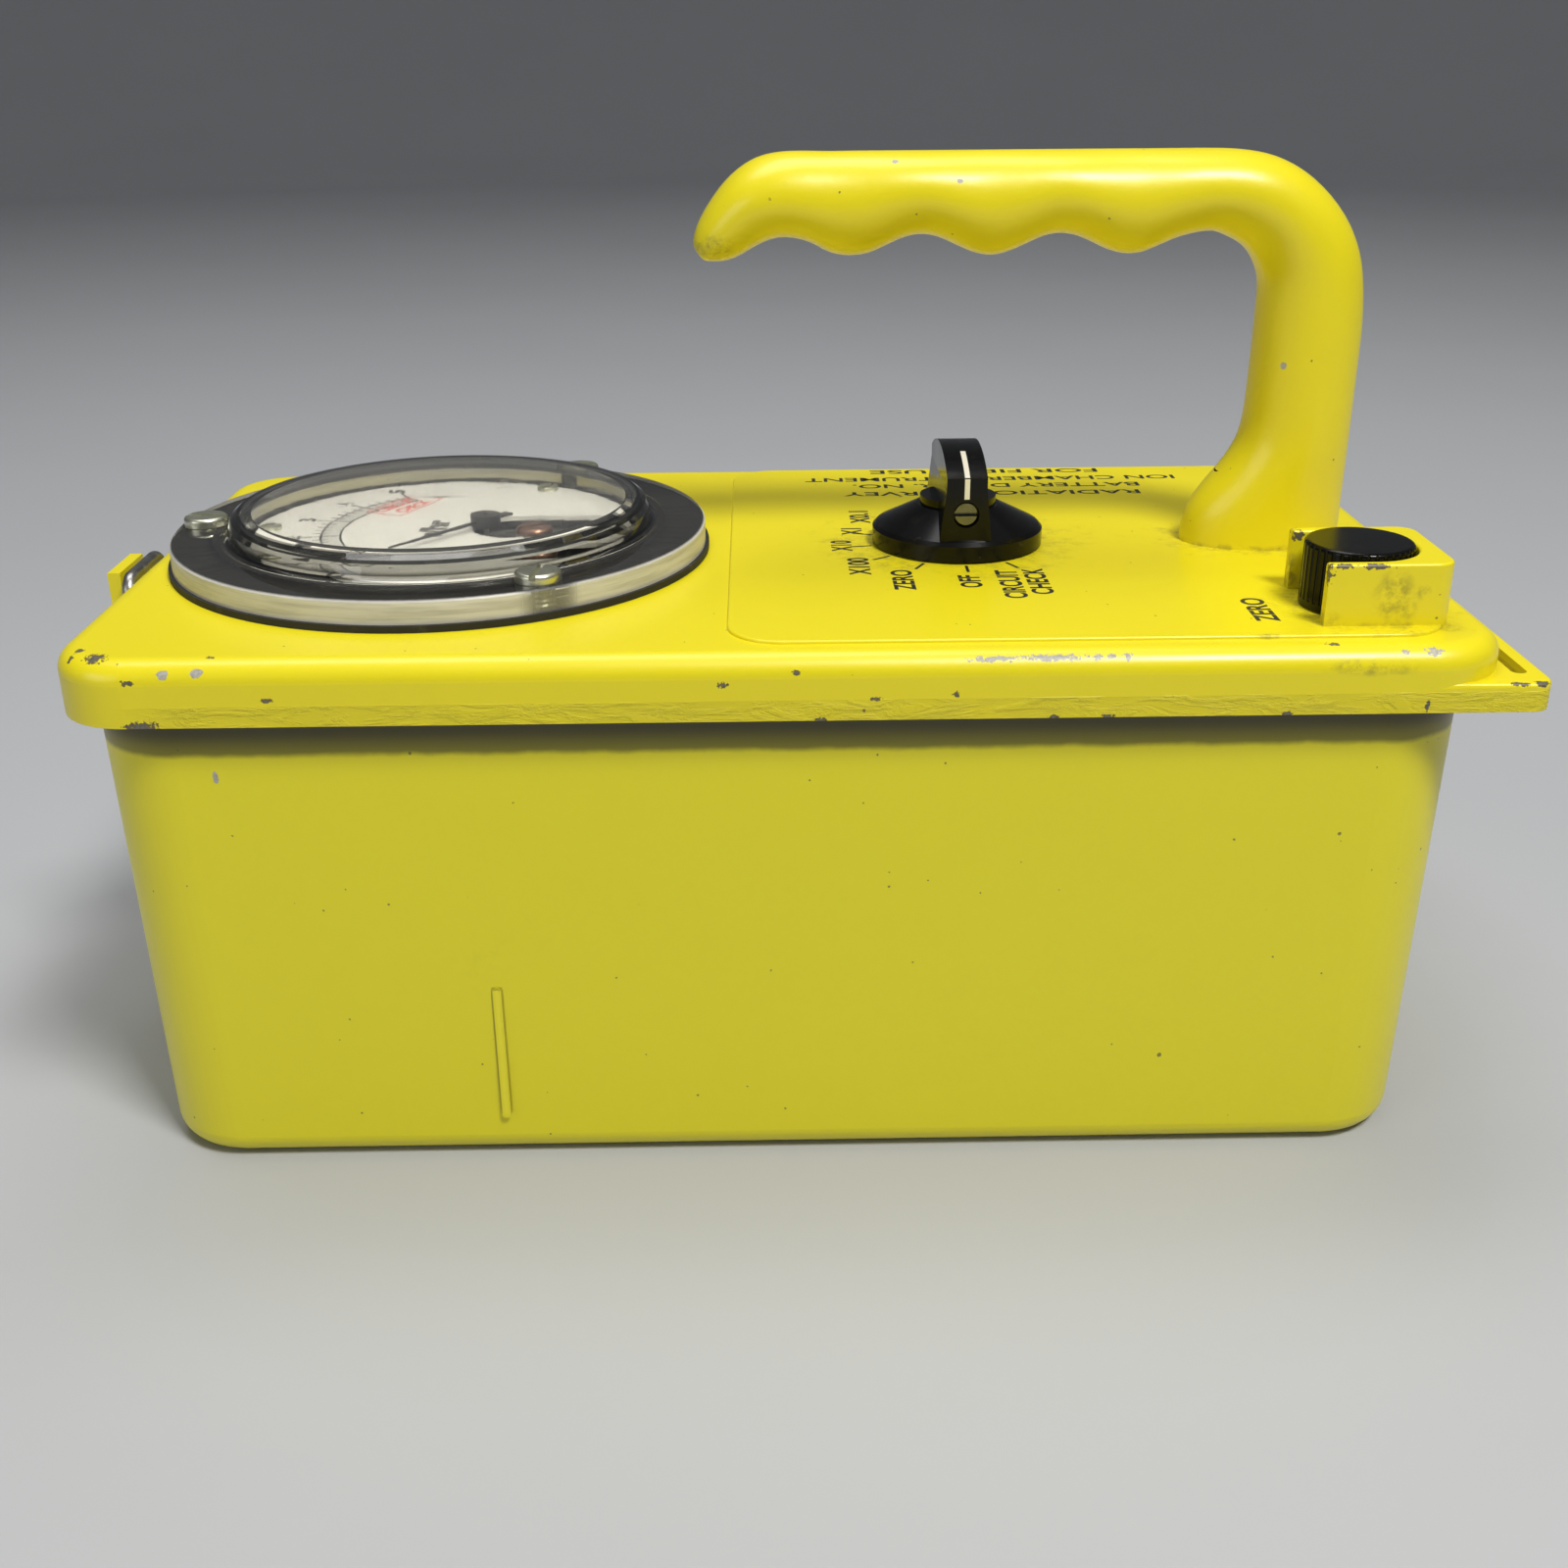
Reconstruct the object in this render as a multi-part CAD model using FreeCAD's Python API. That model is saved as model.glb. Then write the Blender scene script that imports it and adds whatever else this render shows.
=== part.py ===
"""Hand-carried radiation survey meter: yellow cast cover over a tapered pan.

Frame: millimetres, +X to the right end, +Y to the rear, +Z up. The origin is
the middle of the flat underside of the pan.
"""
import FreeCAD, Part
import math
import os

Vec = FreeCAD.Vector
X, Y, Z = Vec(1, 0, 0), Vec(0, 1, 0), Vec(0, 0, 1)
TINY = 0.01

# --- driving dimensions -------------------------------------------------------
COVER_LENGTH, COVER_WIDTH = 212.0, 115.0
COVER_TOP, SKIRT_DEPTH = 86.5, 9.7
COVER_WALL, COVER_ROOF, COVER_CORNER, COVER_EDGE = 2.8, 3.2, 12.0, 3.4
PAD_X, PAD_Y, PAD_RAISE, PAD_CORNER = (-8.0, 98.0), (-52.0, 53.5), 0.5, 8.0

CASE_INSET, CASE_DRAFT, CASE_WALL, CASE_CORNER = 3.1, 1.0, 1.6, 14.0
CASE_EDGE, GASKET = 4.0, 1.5

METER = (-56.7, 0.0)
METER_HOLE, METER_FLANGE, METER_BOLTS = 35.2, 44.45, 40.0
METER_SCREW_ANGLES = (180, -60, 60)
METER_SCREW = 1.9
SEAL_RING = (37.6, 36.5)
BARREL, BARREL_BORE, BARREL_FLOOR = 34.9, 32.6, 48.0
TERMINAL_Y = (-12.0, 12.0)
PIVOT = (-49.5, 0.0)
POINTER_REST, POINTER_LENGTH = -128.0, 21.5
DIAL, DIAL_THICK, DIAL_SCREWS = 32.3, 0.8, ((-86.0, 0.0), (-41.8, 26.0))
ZERO_SCREW = (-41.2, -1.0)

RANGE_AXIS, RANGE_KNOB = (30.7, 0.0), 14.4
ZERO_AXIS, ZERO_KNOB = (86.9, -37.9), 8.05
SHAFT, BUSHING, RUNNING_GAP = 3.1, 4.7, 0.05
SET_SCREW, SET_SCREW_Z = 1.8, 95.0

HANDLE_TOP, HANDLE_HALF_WIDTH = 150.2, 8.0
HANDLE_SCREWS, HANDLE_SCREW = (76.5, 89.0), 2.5

BOARD_X, BOARD_Y, BOARD_TOP, BOARD_THICK = (-14.0, 96.0), (-45.0, 45.0), 52.0, 1.6
CHAMBER, CHAMBER_RADIUS, CHAMBER_BASE, CHAMBER_TOP = (40.0, 4.0), 36.0, 8.0, 46.0
STANDOFFS = [(-9.0, -40.0), (-9.0, 40.0), (91.0, -14.0), (91.0, 40.0)]
STUD_CIRCLE, STUD_ANGLES = 29.0, (30, 150, 270)
CELL_X, CELL_Z, CELL_RADIUS, CELL_HALF = -78.0, 22.5, 16.6, 30.5

# Latches: u is the distance outwards from the middle of the box.
LATCH_PIVOT, LATCH_ARM = (107.6, 66.0), 5.0
BAIL_WIRE, BAIL_HALF, BAIL_BAR_Z = 1.2, 8.3, 83.9
LATCHES = {"left": (-1, 108.6, 110.5, 112.6), "right": (1, 108.1, 109.7, 110.9)}
LEVER_TIP = 112.8
BRACKET_SHEET, RIVET_Y, RIVET_Z = 1.3, (-8.2, 8.2), 48.5

PAD_TOP = COVER_TOP + PAD_RAISE
ROOF_UNDER = COVER_TOP - COVER_ROOF
SKIRT_Z = COVER_TOP - SKIRT_DEPTH
CASE_RIM = ROOF_UNDER - GASKET
METER_BASE, FLANGE_TOP = COVER_TOP + 1.1, COVER_TOP + 4.9
DIAL_TOP = COVER_TOP + 2.4
POINTER_Z = DIAL_TOP + 1.1
BRIDGE_LOW, BRIDGE_TOP = DIAL_TOP - 3.1, DIAL_TOP - 1.5
BOARD_UNDER = BOARD_TOP - BOARD_THICK


# --- small shape helpers --------------------------------------------------------
def box(x0, x1, y0, y1, z0, z1):
    return Part.makeBox(x1 - x0, y1 - y0, z1 - z0, Vec(x0, y0, z0))


def cylinder(radius, z0, z1, at=(0.0, 0.0)):
    return Part.makeCylinder(radius, z1 - z0, Vec(at[0], at[1], z0), Z)


def rod(radius, start, end):
    start, end = Vec(*start), Vec(*end)
    return Part.makeCylinder(radius, (end - start).Length, start, end - start)


def ring(outer, inner, z0, z1, at=(0.0, 0.0)):
    return cylinder(outer, z0, z1, at).cut(cylinder(inner, z0 - 1, z1 + 1, at))


def hexagon(across_flats, z0, z1, at=(0.0, 0.0)):
    reach = across_flats / math.sqrt(3)
    corners = [Vec(x, y, z0) for x, y in around(at, reach, range(0, 361, 60))]
    return Part.Face(Part.makePolygon(corners)).extrude(Vec(0, 0, z1 - z0))


def rounded_wire(length, width, radius, z, at=(0.0, 0.0)):
    """Closed rectangle with rounded corners, in a horizontal plane."""
    hx, hy = length / 2 - radius, width / 2 - radius
    edges = []
    ends = []
    for corner, (sx, sy) in enumerate(((1, -1), (1, 1), (-1, 1), (-1, -1))):
        middle = Vec(at[0] + sx * hx, at[1] + sy * hy, z)
        first = math.radians(90 * corner - 90)
        arc = [middle + Vec(radius * math.cos(first + t), radius * math.sin(first + t), 0)
               for t in (0, math.pi / 4, math.pi / 2)]
        if ends:
            edges.append(Part.makeLine(ends[-1], arc[0]))
        edges.append(Part.Arc(*arc).toShape())
        ends += [arc[0], arc[2]]
    edges.append(Part.makeLine(ends[-1], ends[0]))
    return Part.Wire(edges)


def plate(length, width, radius, z0, z1, at=(0.0, 0.0)):
    return Part.Face(rounded_wire(length, width, radius, z0, at)).extrude(Vec(0, 0, z1 - z0))


def turned(profile, at=(0.0, 0.0)):
    """Solid of revolution about a vertical axis, from (radius, z) corners."""
    corners = [Vec(at[0] + r, at[1], z) for r, z in profile + profile[:1]]
    return Part.Face(Part.makePolygon(corners)).revolve(Vec(at[0], at[1], 0), Z, 360)


def edges_at(shape, z):
    """Edges that lie wholly in the horizontal plane at z."""
    return [e for e in shape.Edges
            if abs(e.BoundBox.ZMin - z) < TINY and abs(e.BoundBox.ZMax - z) < TINY]


def round_rim(shape, radius, z):
    return shape.makeFillet(radius, edges_at(shape, z))


def fused(first, *others):
    return first.fuse(list(others)).removeSplitter()


def group(solids):
    return Part.Compound(list(solids))


def around(centre, radius, angles):
    turns = [math.radians(angle) for angle in angles]
    return [(centre[0] + radius * math.cos(t), centre[1] + radius * math.sin(t)) for t in turns]


def meter_screw_spots():
    return around(METER, METER_BOLTS, METER_SCREW_ANGLES)


def stud_spots():
    return around(CHAMBER, STUD_CIRCLE, STUD_ANGLES)


def slotted_screw(head, height, shank, z_seat, z_end, at, slot_angle=0.0):
    """Slotted pan-head screw whose head sits above z_seat."""
    x, y = at
    top, half_slot = z_seat + height, 0.5
    body = round_rim(cylinder(head, z_seat, top, at), height * 0.4, top)
    body = body.fuse(cylinder(shank, z_end, z_seat, at))
    slot = box(x - head - 1, x + head + 1, y - half_slot, y + half_slot, top - height / 2, top + 1)
    slot.rotate(Vec(x, y, 0), Z, slot_angle)
    return body.cut(slot)


# --- housing ---------------------------------------------------------------------
def case_size(z):
    """Length and width of the outside of the pan at height z."""
    draw_in = CASE_INSET + (SKIRT_Z - z) * math.tan(math.radians(CASE_DRAFT))
    return COVER_LENGTH - 2 * draw_in, COVER_WIDTH - 2 * draw_in


def case_outer(z0, z1, inset=0.0):
    wires = []
    for z in (z0, z1):
        length, width = case_size(z)
        wires.append(rounded_wire(length - 2 * inset, width - 2 * inset, CASE_CORNER - inset, z))
    return Part.makeLoft(wires, True, True)


def make_case():
    """Tapered pan with a thin upright bead on its front wall."""
    outside = round_rim(case_outer(0.0, CASE_RIM), CASE_EDGE, 0.0)
    inside = round_rim(case_outer(CASE_WALL, CASE_RIM + 2, CASE_WALL), CASE_EDGE - CASE_WALL, CASE_WALL)
    bead_foot, bead_top, bead_x, bead_width, bead_proud = 7.5, 31.4, -44.8, 1.5, 0.45
    front = case_size((bead_foot + bead_top) / 2)[1] / 2
    bead = plate(bead_width, bead_top - bead_foot, bead_width / 2 - TINY, -bead_proud, CASE_WALL / 2)
    bead.rotate(Vec(0, 0, 0), X, -90)
    bead.translate(Vec(bead_x, -front, (bead_foot + bead_top) / 2))
    return outside.cut(inside).fuse(bead)


def keeper(side, lip_inner, lip_outer):
    """Cast hook on the end of the cover that holds the latch's wire bail."""
    half, floor, lip_top, root = 6.0, BAIL_BAR_Z - BAIL_WIRE - 0.3, COVER_TOP - 1.8, COVER_LENGTH / 2 - 2
    block = box(root, lip_outer, -half, half, SKIRT_Z, floor)
    block = block.fuse(box(lip_inner, lip_outer, -half, half, floor, lip_top)).removeSplitter()
    return block if side > 0 else block.mirror(Vec(0, 0, 0), X)


def strap_lug():
    """Flat slotted ear at the front of the right end, for a carrying strap."""
    x0, x1, y0, y1, thick = 88.0, 111.2, -COVER_WIDTH / 2, -19.5, 4.3
    ear = box(x0, x1, y0, y1, SKIRT_Z, SKIRT_Z + thick)
    upright = [e for e in ear.Edges if e.BoundBox.ZLength > 1 and e.BoundBox.XMin > x1 - TINY]
    ear = ear.makeFillet(3.0, upright)
    return round_rim(ear, 0.6, SKIRT_Z + thick)


def strap_slot():
    return plate(2.3, 28.0, 1.1, SKIRT_Z - 1, SKIRT_Z + 6, (107.6, -39.0))


def zero_guard():
    """Cast wall round the zero knob, open on its left side."""
    x0, x1, y0, y1, top, slot = 79.4, 98.4, -48.2, -27.3, 96.3, ZERO_KNOB + 0.45
    block = plate(x1 - x0 + 6, y1 - y0, 3.0, COVER_TOP - 1, top, ((x0 + x1) / 2 - 3, (y0 + y1) / 2))
    block = block.common(box(x0, x1, y0, y1, 0, top))
    block = block.cut(cylinder(slot, PAD_TOP, top + 1, ZERO_AXIS))
    block = block.cut(box(x0 - 1, ZERO_AXIS[0], ZERO_AXIS[1] - slot, ZERO_AXIS[1] + slot, PAD_TOP, top + 1))
    return round_rim(block, 0.5, top)


def make_cover():
    shell = plate(COVER_LENGTH, COVER_WIDTH, COVER_CORNER, SKIRT_Z, COVER_TOP)
    shell = round_rim(shell, COVER_EDGE, COVER_TOP)
    pad_size = (PAD_X[1] - PAD_X[0], PAD_Y[1] - PAD_Y[0])
    pad_middle = (sum(PAD_X) / 2, sum(PAD_Y) / 2)
    pad = round_rim(plate(*pad_size, PAD_CORNER, COVER_TOP - 1, PAD_TOP, pad_middle), 0.35, PAD_TOP)
    keepers = [keeper(side, lip_inner, lip_outer) for side, _, lip_inner, lip_outer in LATCHES.values()]
    cover = shell.fuse([pad, zero_guard(), strap_lug()] + keepers)
    hollow = plate(COVER_LENGTH - 2 * COVER_WALL, COVER_WIDTH - 2 * COVER_WALL, COVER_CORNER - COVER_WALL,
                   SKIRT_Z - 1, ROOF_UNDER)
    holes = [cylinder(METER_HOLE, 0, 200, METER)]
    holes += [cylinder(BUSHING, 0, 200, axis) for axis in (RANGE_AXIS, ZERO_AXIS)]
    holes += [cylinder(METER_SCREW, 0, 200, at) for at in meter_screw_spots()]
    holes += [cylinder(HANDLE_SCREW, 0, 200, (x, 0)) for x in HANDLE_SCREWS]
    return cover.cut([hollow, strap_slot()] + holes).removeSplitter()


def make_case_gasket():
    (length, width), flat = case_size(CASE_RIM), 2.2
    outer = plate(length, width, CASE_CORNER, CASE_RIM, ROOF_UNDER)
    inner = plate(length - 2 * flat, width - 2 * flat, CASE_CORNER - flat, CASE_RIM - 1, ROOF_UNDER + 1)
    return outer.cut(inner)


# --- handle ----------------------------------------------------------------------
def handle_sections():
    """(top or outer point, under or inner point) pairs in the XZ plane, tip to foot."""
    groove_pitch, groove_mean, groove_depth, first_groove = 22.3, 136.0, 1.65, 1.0

    def under(x):
        return groove_mean + groove_depth * math.cos(2 * math.pi * (x - first_groove) / groove_pitch)

    pairs = [((-12.9, 136.0), (-11.0, 133.8)), ((-12.6, 138.6), (-7.6, 133.9)),
             ((-10.4, 142.6), (-3.8, 135.6)), ((-6.8, 146.8), (0.6, 137.3)),
             ((-1.6, 149.7), (5.4, 136.6))]
    steps = 13
    for step in range(steps):
        x = 10.0 + step * (68.0 - 10.0) / (steps - 1)
        pairs.append(((x - 2.5 * (1 - step / (steps - 1)), HANDLE_TOP), (x, under(x))))
    bends = ((71.0, 125.9, 24.4), (69.3, 128.4, 9.1))
    for angle in (72, 54, 36, 18, 3):
        turn = math.radians(angle)
        pairs.append(tuple((x + r * math.cos(turn), z + r * math.sin(turn)) for x, z, r in bends))
    foot_inside = ((118, 78.4), (110, 78.2), (104.5, 77.4), (99.5, 74.6), (95.0, 71.2), (91.0, 69.4),
                   (PAD_TOP, 69.0))
    for z, inner in foot_inside:
        pairs.append(((95.8, z), (inner, z)))
    return pairs


def oval(outer, inner, count=24):
    """Points round the handle on the oval through its outer and inner points, closed."""
    a, b = Vec(outer[0], 0, outer[1]), Vec(inner[0], 0, inner[1])
    reach = (a - b).Length / 2
    half = HANDLE_HALF_WIDTH * min(1.0, (reach / 6.5) ** 0.6)
    middle, along = (a + b) * 0.5, (a - b).normalize()
    turns = [2 * math.pi * n / count for n in range(count + 1)]
    return [middle + along * (reach * math.cos(t)) + Y * (half * math.sin(t)) for t in turns]


def make_handle():
    """One smooth skin through all the ovals, closed by a flat cap at each end."""
    skin = Part.BSplineSurface()
    skin.interpolate([oval(*pair) for pair in handle_sections()])
    first, last = skin.bounds()[:2]
    caps = [Part.Face(Part.Wire(skin.uIso(u).toShape())) for u in (first, last)]
    shell = Part.Shell([skin.toShape()] + caps)
    shell.sewShape()
    bar = Part.Solid(shell)
    return bar.cut([cylinder(HANDLE_SCREW, PAD_TOP - 1, PAD_TOP + 12, (x, 0)) for x in HANDLE_SCREWS])


def make_handle_screws():
    """Hexagon-headed screws up through the cover into blind threads in the handle's foot."""
    screws = []
    for x in HANDLE_SCREWS:
        head = hexagon(8.0, ROOF_UNDER - 3.2, ROOF_UNDER, (x, 0))
        screws.append(cylinder(HANDLE_SCREW, ROOF_UNDER, PAD_TOP + 11.5, (x, 0)).fuse(head))
    return group(screws)


# --- panel meter -------------------------------------------------------------------
def make_window():
    """Clear moulded flange with a raised, slightly crowned dome."""
    base, flange, (groove_out, groove_in) = METER_BASE, FLANGE_TOP, SEAL_RING
    rim, groove_floor = METER_FLANGE, flange - 0.7
    profile = [(33.0, base), (rim, base), (rim, flange - 0.4), (rim - 0.4, flange),
               (groove_out, flange), (groove_out, groove_floor), (groove_in, groove_floor), (groove_in, flange),
               (36.0, flange),
               (35.3, flange + 0.5), (34.9, flange + 2.2), (34.4, flange + 3.1), (33.4, flange + 3.8),
               (31.5, flange + 4.2), (0, flange + 4.5), (0, flange + 2.6), (31.0, flange + 2.3),
               (32.4, flange + 1.7), (33.0, flange + 0.4)]
    return turned(profile, METER).cut([cylinder(METER_SCREW, 0, 200, at) for at in meter_screw_spots()])


def make_meter_gasket():
    sheet = ring(METER_FLANGE + 0.6, METER_HOLE, COVER_TOP, METER_BASE, METER)
    return sheet.cut([cylinder(METER_SCREW, 0, 200, at) for at in meter_screw_spots()])


def make_meter_screws():
    slots, end = (-8, 82, 10), ROOF_UNDER - 6
    return group(slotted_screw(3.6, 1.6, METER_SCREW, FLANGE_TOP, end, at, slot)
                 for at, slot in zip(meter_screw_spots(), slots))


def make_meter_nuts():
    low = ROOF_UNDER - 3
    return group(hexagon(6.0, low, ROOF_UNDER, at).cut(cylinder(METER_SCREW, low - 1, ROOF_UNDER + 1, at))
                 for at in meter_screw_spots())


def make_barrel():
    """Round pot that hangs through the cover and holds the movement."""
    shell = ring(BARREL, BARREL_BORE, BARREL_FLOOR, METER_BASE, METER)
    floor = cylinder(BARREL, BARREL_FLOOR - 3, BARREL_FLOOR, METER)
    return fused(shell, floor).cut([cylinder(2.0, 0, 100, (METER[0], y)) for y in TERMINAL_Y])


def make_terminals():
    seat, terminals = BARREL_FLOOR - 3, []
    for y in TERMINAL_Y:
        nut = hexagon(7.0, seat - 3.5, seat, (METER[0], y))
        terminals.append(cylinder(2.0, 36.0, BARREL_FLOOR, (METER[0], y)).fuse(nut))
    return group(terminals)


def make_dial():
    """Thin disc, cut away round the bridge and the coil."""
    disc = cylinder(DIAL, DIAL_TOP - DIAL_THICK, DIAL_TOP, METER)
    window = plate(26.4, 14, 6.9, DIAL_TOP - 2, DIAL_TOP + 1, (PIVOT[0] + 11.0, 0))
    holes = [cylinder(1.1, 0, 200, at) for at in DIAL_SCREWS]
    return disc.cut([window] + holes)


def make_dial_screws():
    return group(slotted_screw(1.9, 0.8, 1.1, DIAL_TOP, DIAL_TOP - 4.4, at, 60) for at in DIAL_SCREWS)


def make_movement_base():
    base_top, posts_top, boss_top, rest = BARREL_FLOOR + 3, 61.0, 56.4, DIAL_TOP - DIAL_THICK
    disc = cylinder(24.5, BARREL_FLOOR, base_top, PIVOT)
    disc = disc.common(cylinder(BARREL_BORE - 0.4, 0, 100, METER))
    boss = cylinder(3.0, base_top, boss_top, PIVOT).cut(cylinder(0.55, boss_top - 2.5, boss_top + 1, PIVOT))
    posts = [cylinder(2.5, base_top, posts_top, at) for at in around(PIVOT, 18.5, (0, 120, 240))]
    uprights = [cylinder(2.2, base_top, rest, at).cut(cylinder(1.1, DIAL_TOP - 6, DIAL_TOP, at))
                for at in DIAL_SCREWS]
    feet = [box(min(at[0], PIVOT[0]), max(at[0], PIVOT[0]), at[1] - 2, at[1] + 2, BARREL_FLOOR, base_top)
            for at in DIAL_SCREWS]
    return fused(disc, boss, *posts, *uprights, *feet)


def make_magnet():
    """C-shaped magnet with the coil's working gap bored through it."""
    body = ring(23.5, 13.0, 61.0, 75.0, PIVOT)
    mouth = box(PIVOT[0] - 30, PIVOT[0], -4, 4, 60, 76)
    return body.cut(mouth)


def make_core():
    """Soft-iron core held in the gap by a cross strip."""
    strip = box(PIVOT[0] - 1.5, PIVOT[0] + 1.5, -13.0, 13.0, 67.0, 69.0)
    return fused(cylinder(8.0, 61.5, 74.5, PIVOT), strip.common(cylinder(13.0, 60, 80, PIVOT)))


def make_coil():
    """Rectangular coil former on its two pivots, turned to the pointer's rest."""
    frame_box = box(PIVOT[0] - 11.3, PIVOT[0] + 11.3, -3, 3, 58.6, 78.4)
    coil = frame_box.cut(box(PIVOT[0] - 9.3, PIVOT[0] + 9.3, -4, 4, 60.3, 76.7))
    lower = cylinder(0.5, 54.2, 58.6, PIVOT)
    upper = cylinder(0.5, 78.4, POINTER_Z + 0.9, PIVOT)
    coil = fused(coil, lower, upper)
    coil.rotate(Vec(PIVOT[0], PIVOT[1], 0), Z, POINTER_REST)
    return coil


def make_pointer():
    """Knife pointer with a hub and a short counterweight tail."""
    x, y = PIVOT
    tip = (POINTER_LENGTH, -0.12)
    outline = (tip, (POINTER_LENGTH, 0.12), (2, 0.5), (-5.6, 0.9), (-5.6, -0.9), (2, -0.5), tip)
    corners = [Vec(x + along, y + across, POINTER_Z) for along, across in outline]
    blade = Part.Face(Part.makePolygon(corners)).extrude(Vec(0, 0, 0.35))
    hub = cylinder(2.5, POINTER_Z - 0.8, POINTER_Z + 1.2, PIVOT)
    pointer = fused(blade, hub).cut(cylinder(0.5, 80, 100, PIVOT))
    pointer.rotate(Vec(x, y, 0), Z, POINTER_REST)
    return pointer


def make_hairspring():
    """Flat spiral hairspring under the dial, round the coil's upper shaft."""
    turns, inner, outer, steps, half, z = 3.0, 1.0, 4.6, 24, 0.12, 84.0

    def spiral(shift):
        points = []
        for step in range(int(turns * steps) + 1):
            share = step / (turns * steps)
            radius, angle = inner + shift + (outer - inner) * share, 2 * math.pi * turns * share
            points.append(Vec(PIVOT[0] + radius * math.cos(angle), PIVOT[1] + radius * math.sin(angle), z))
        return points

    outline = spiral(half) + spiral(-half)[::-1]
    ribbon = Part.Face(Part.makePolygon(outline + outline[:1])).extrude(Vec(0, 0, 0.8))
    return fused(ribbon, ring(1.1, 0.55, z - 0.3, z + 1.1, PIVOT))


def make_bridge():
    """Black top bridge just under the dial, with the bearing the movement's upper shaft turns in."""
    x0, x1, half = PIVOT[0] - 4.4, -27.2, 6.2
    strap = plate(x1 - x0, 2 * half, 6.1, BRIDGE_LOW, BRIDGE_TOP, ((x0 + x1) / 2, 0))
    post = cylinder(2.4, 75.0, BRIDGE_LOW, (-33.2, 0))
    holes = [cylinder(radius, BRIDGE_LOW - 1, BRIDGE_TOP + 1, at)
             for radius, at in ((0.55, PIVOT), (1.0, ZERO_SCREW))]
    return fused(strap, post).cut(holes)


def make_zero_screw():
    return slotted_screw(3.1, 2.0, 1.0, BRIDGE_TOP, BRIDGE_LOW, ZERO_SCREW, 25)


# --- controls --------------------------------------------------------------------
def make_range_knob():
    """Skirted knob: low cone and an upright finger bar that points to the front."""
    x, y = RANGE_AXIS
    base = PAD_TOP + 0.3
    rim, shell = RANGE_KNOB, 10.2
    skirt = turned([(shell, base), (rim, base), (rim, base + 2.6), (rim - 0.6, base + 3.2),
                    (11.0, base + 4.6), (7.0, base + 6.6), (0, base + 7.4), (0, base + 4.5),
                    (shell, base + 3.4)], RANGE_AXIS)
    reach, shoulder, crown = 13.2, 101.0, 104.0
    side = [Vec(x, y + across, z) for across, z in
            ((-reach, base + 3.0), (-reach, shoulder), (0, crown), (reach, shoulder), (reach, base + 3.0))]
    outline = Part.Wire([Part.makeLine(side[0], side[1]), Part.Arc(*side[1:4]).toShape(),
                         Part.makeLine(side[3], side[4]), Part.makeLine(side[4], side[0])])
    foot, head = 4.6, 3.3
    taper = Part.makePolygon([Vec(x + across, 0, z) for across, z in
                              ((-foot, base), (foot, base), (head, crown - 5), (head, crown + 1),
                               (-head, crown + 1), (-head, crown - 5), (-foot, base))])
    bar = Part.Face(outline).extrude(Vec(2 * foot, 0, 0))
    bar.translate(Vec(-foot, 0, 0))
    wedge = Part.Face(taper).extrude(Vec(0, 40, 0))
    wedge.translate(Vec(0, y - 20, 0))
    bar = bar.common(wedge).common(cylinder(13.6, 80, 110, RANGE_AXIS))
    core = cylinder(6.4, base + 2.4, base + 8, RANGE_AXIS)
    knob = fused(skirt, bar, core)
    return knob.cut([cylinder(SHAFT, 80, 99.0, RANGE_AXIS), set_screw_hole()])


def set_screw_hole():
    x, y = RANGE_AXIS
    return rod(SET_SCREW + 0.35, (x, y - 20, SET_SCREW_Z), (x, y - 11.5, SET_SCREW_Z)).fuse(
        rod(SET_SCREW, (x, y - 12, SET_SCREW_Z), (x, y - SHAFT + 0.6, SET_SCREW_Z)))


def make_set_screw():
    x, y = RANGE_AXIS
    screw = rod(SET_SCREW, (x, y - 12.6, SET_SCREW_Z), (x, y - SHAFT, SET_SCREW_Z))
    return screw.cut(box(x - 3, x + 3, y - 14, y - 11.6, SET_SCREW_Z - 0.35, SET_SCREW_Z + 0.35))


def make_zero_knob():
    """Finely ribbed round knob, hollow underneath to clear the nut."""
    base, top, ribs = PAD_TOP + 0.3, COVER_TOP + 10.6, 40
    body = round_rim(cylinder(ZERO_KNOB, base, top, ZERO_AXIS), 0.7, top)
    grooves = [cylinder(0.32, base + 1, top + 1, at)
               for at in around(ZERO_AXIS, ZERO_KNOB + 0.08, [360 / ribs * n for n in range(ribs)])]
    inside = [cylinder(6.7, base - 1, base + 2.6, ZERO_AXIS), cylinder(SHAFT, base, top - 1.6, ZERO_AXIS)]
    return body.cut(inside + grooves)


def control_shaft(at, z0, z1):
    return cylinder(SHAFT, z0, z1, at)


def control_nut(at):
    nut = hexagon(11.0, PAD_TOP, PAD_TOP + 2.2, at)
    return nut.cut(cylinder(BUSHING, 0, 200, at))


def make_range_switch():
    """Rotary switch: threaded bushing, index housing and two wafers on spacer rods."""
    frame_low, wafers = 75.5, (68.0, 61.0)
    bushing = cylinder(BUSHING, frame_low, PAD_TOP + 2.6, RANGE_AXIS)
    housing = plate(30, 30, 6, frame_low, ROOF_UNDER, RANGE_AXIS)
    discs = [cylinder(16.5, z, z + 1.6, RANGE_AXIS) for z in wafers]
    rods = [cylinder(1.6, wafers[-1] - 2, frame_low, (RANGE_AXIS[0] + dx, RANGE_AXIS[1])) for dx in (-13, 13)]
    return fused(housing, bushing, *discs, *rods).cut(cylinder(SHAFT + RUNNING_GAP, 0, 200, RANGE_AXIS))


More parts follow.
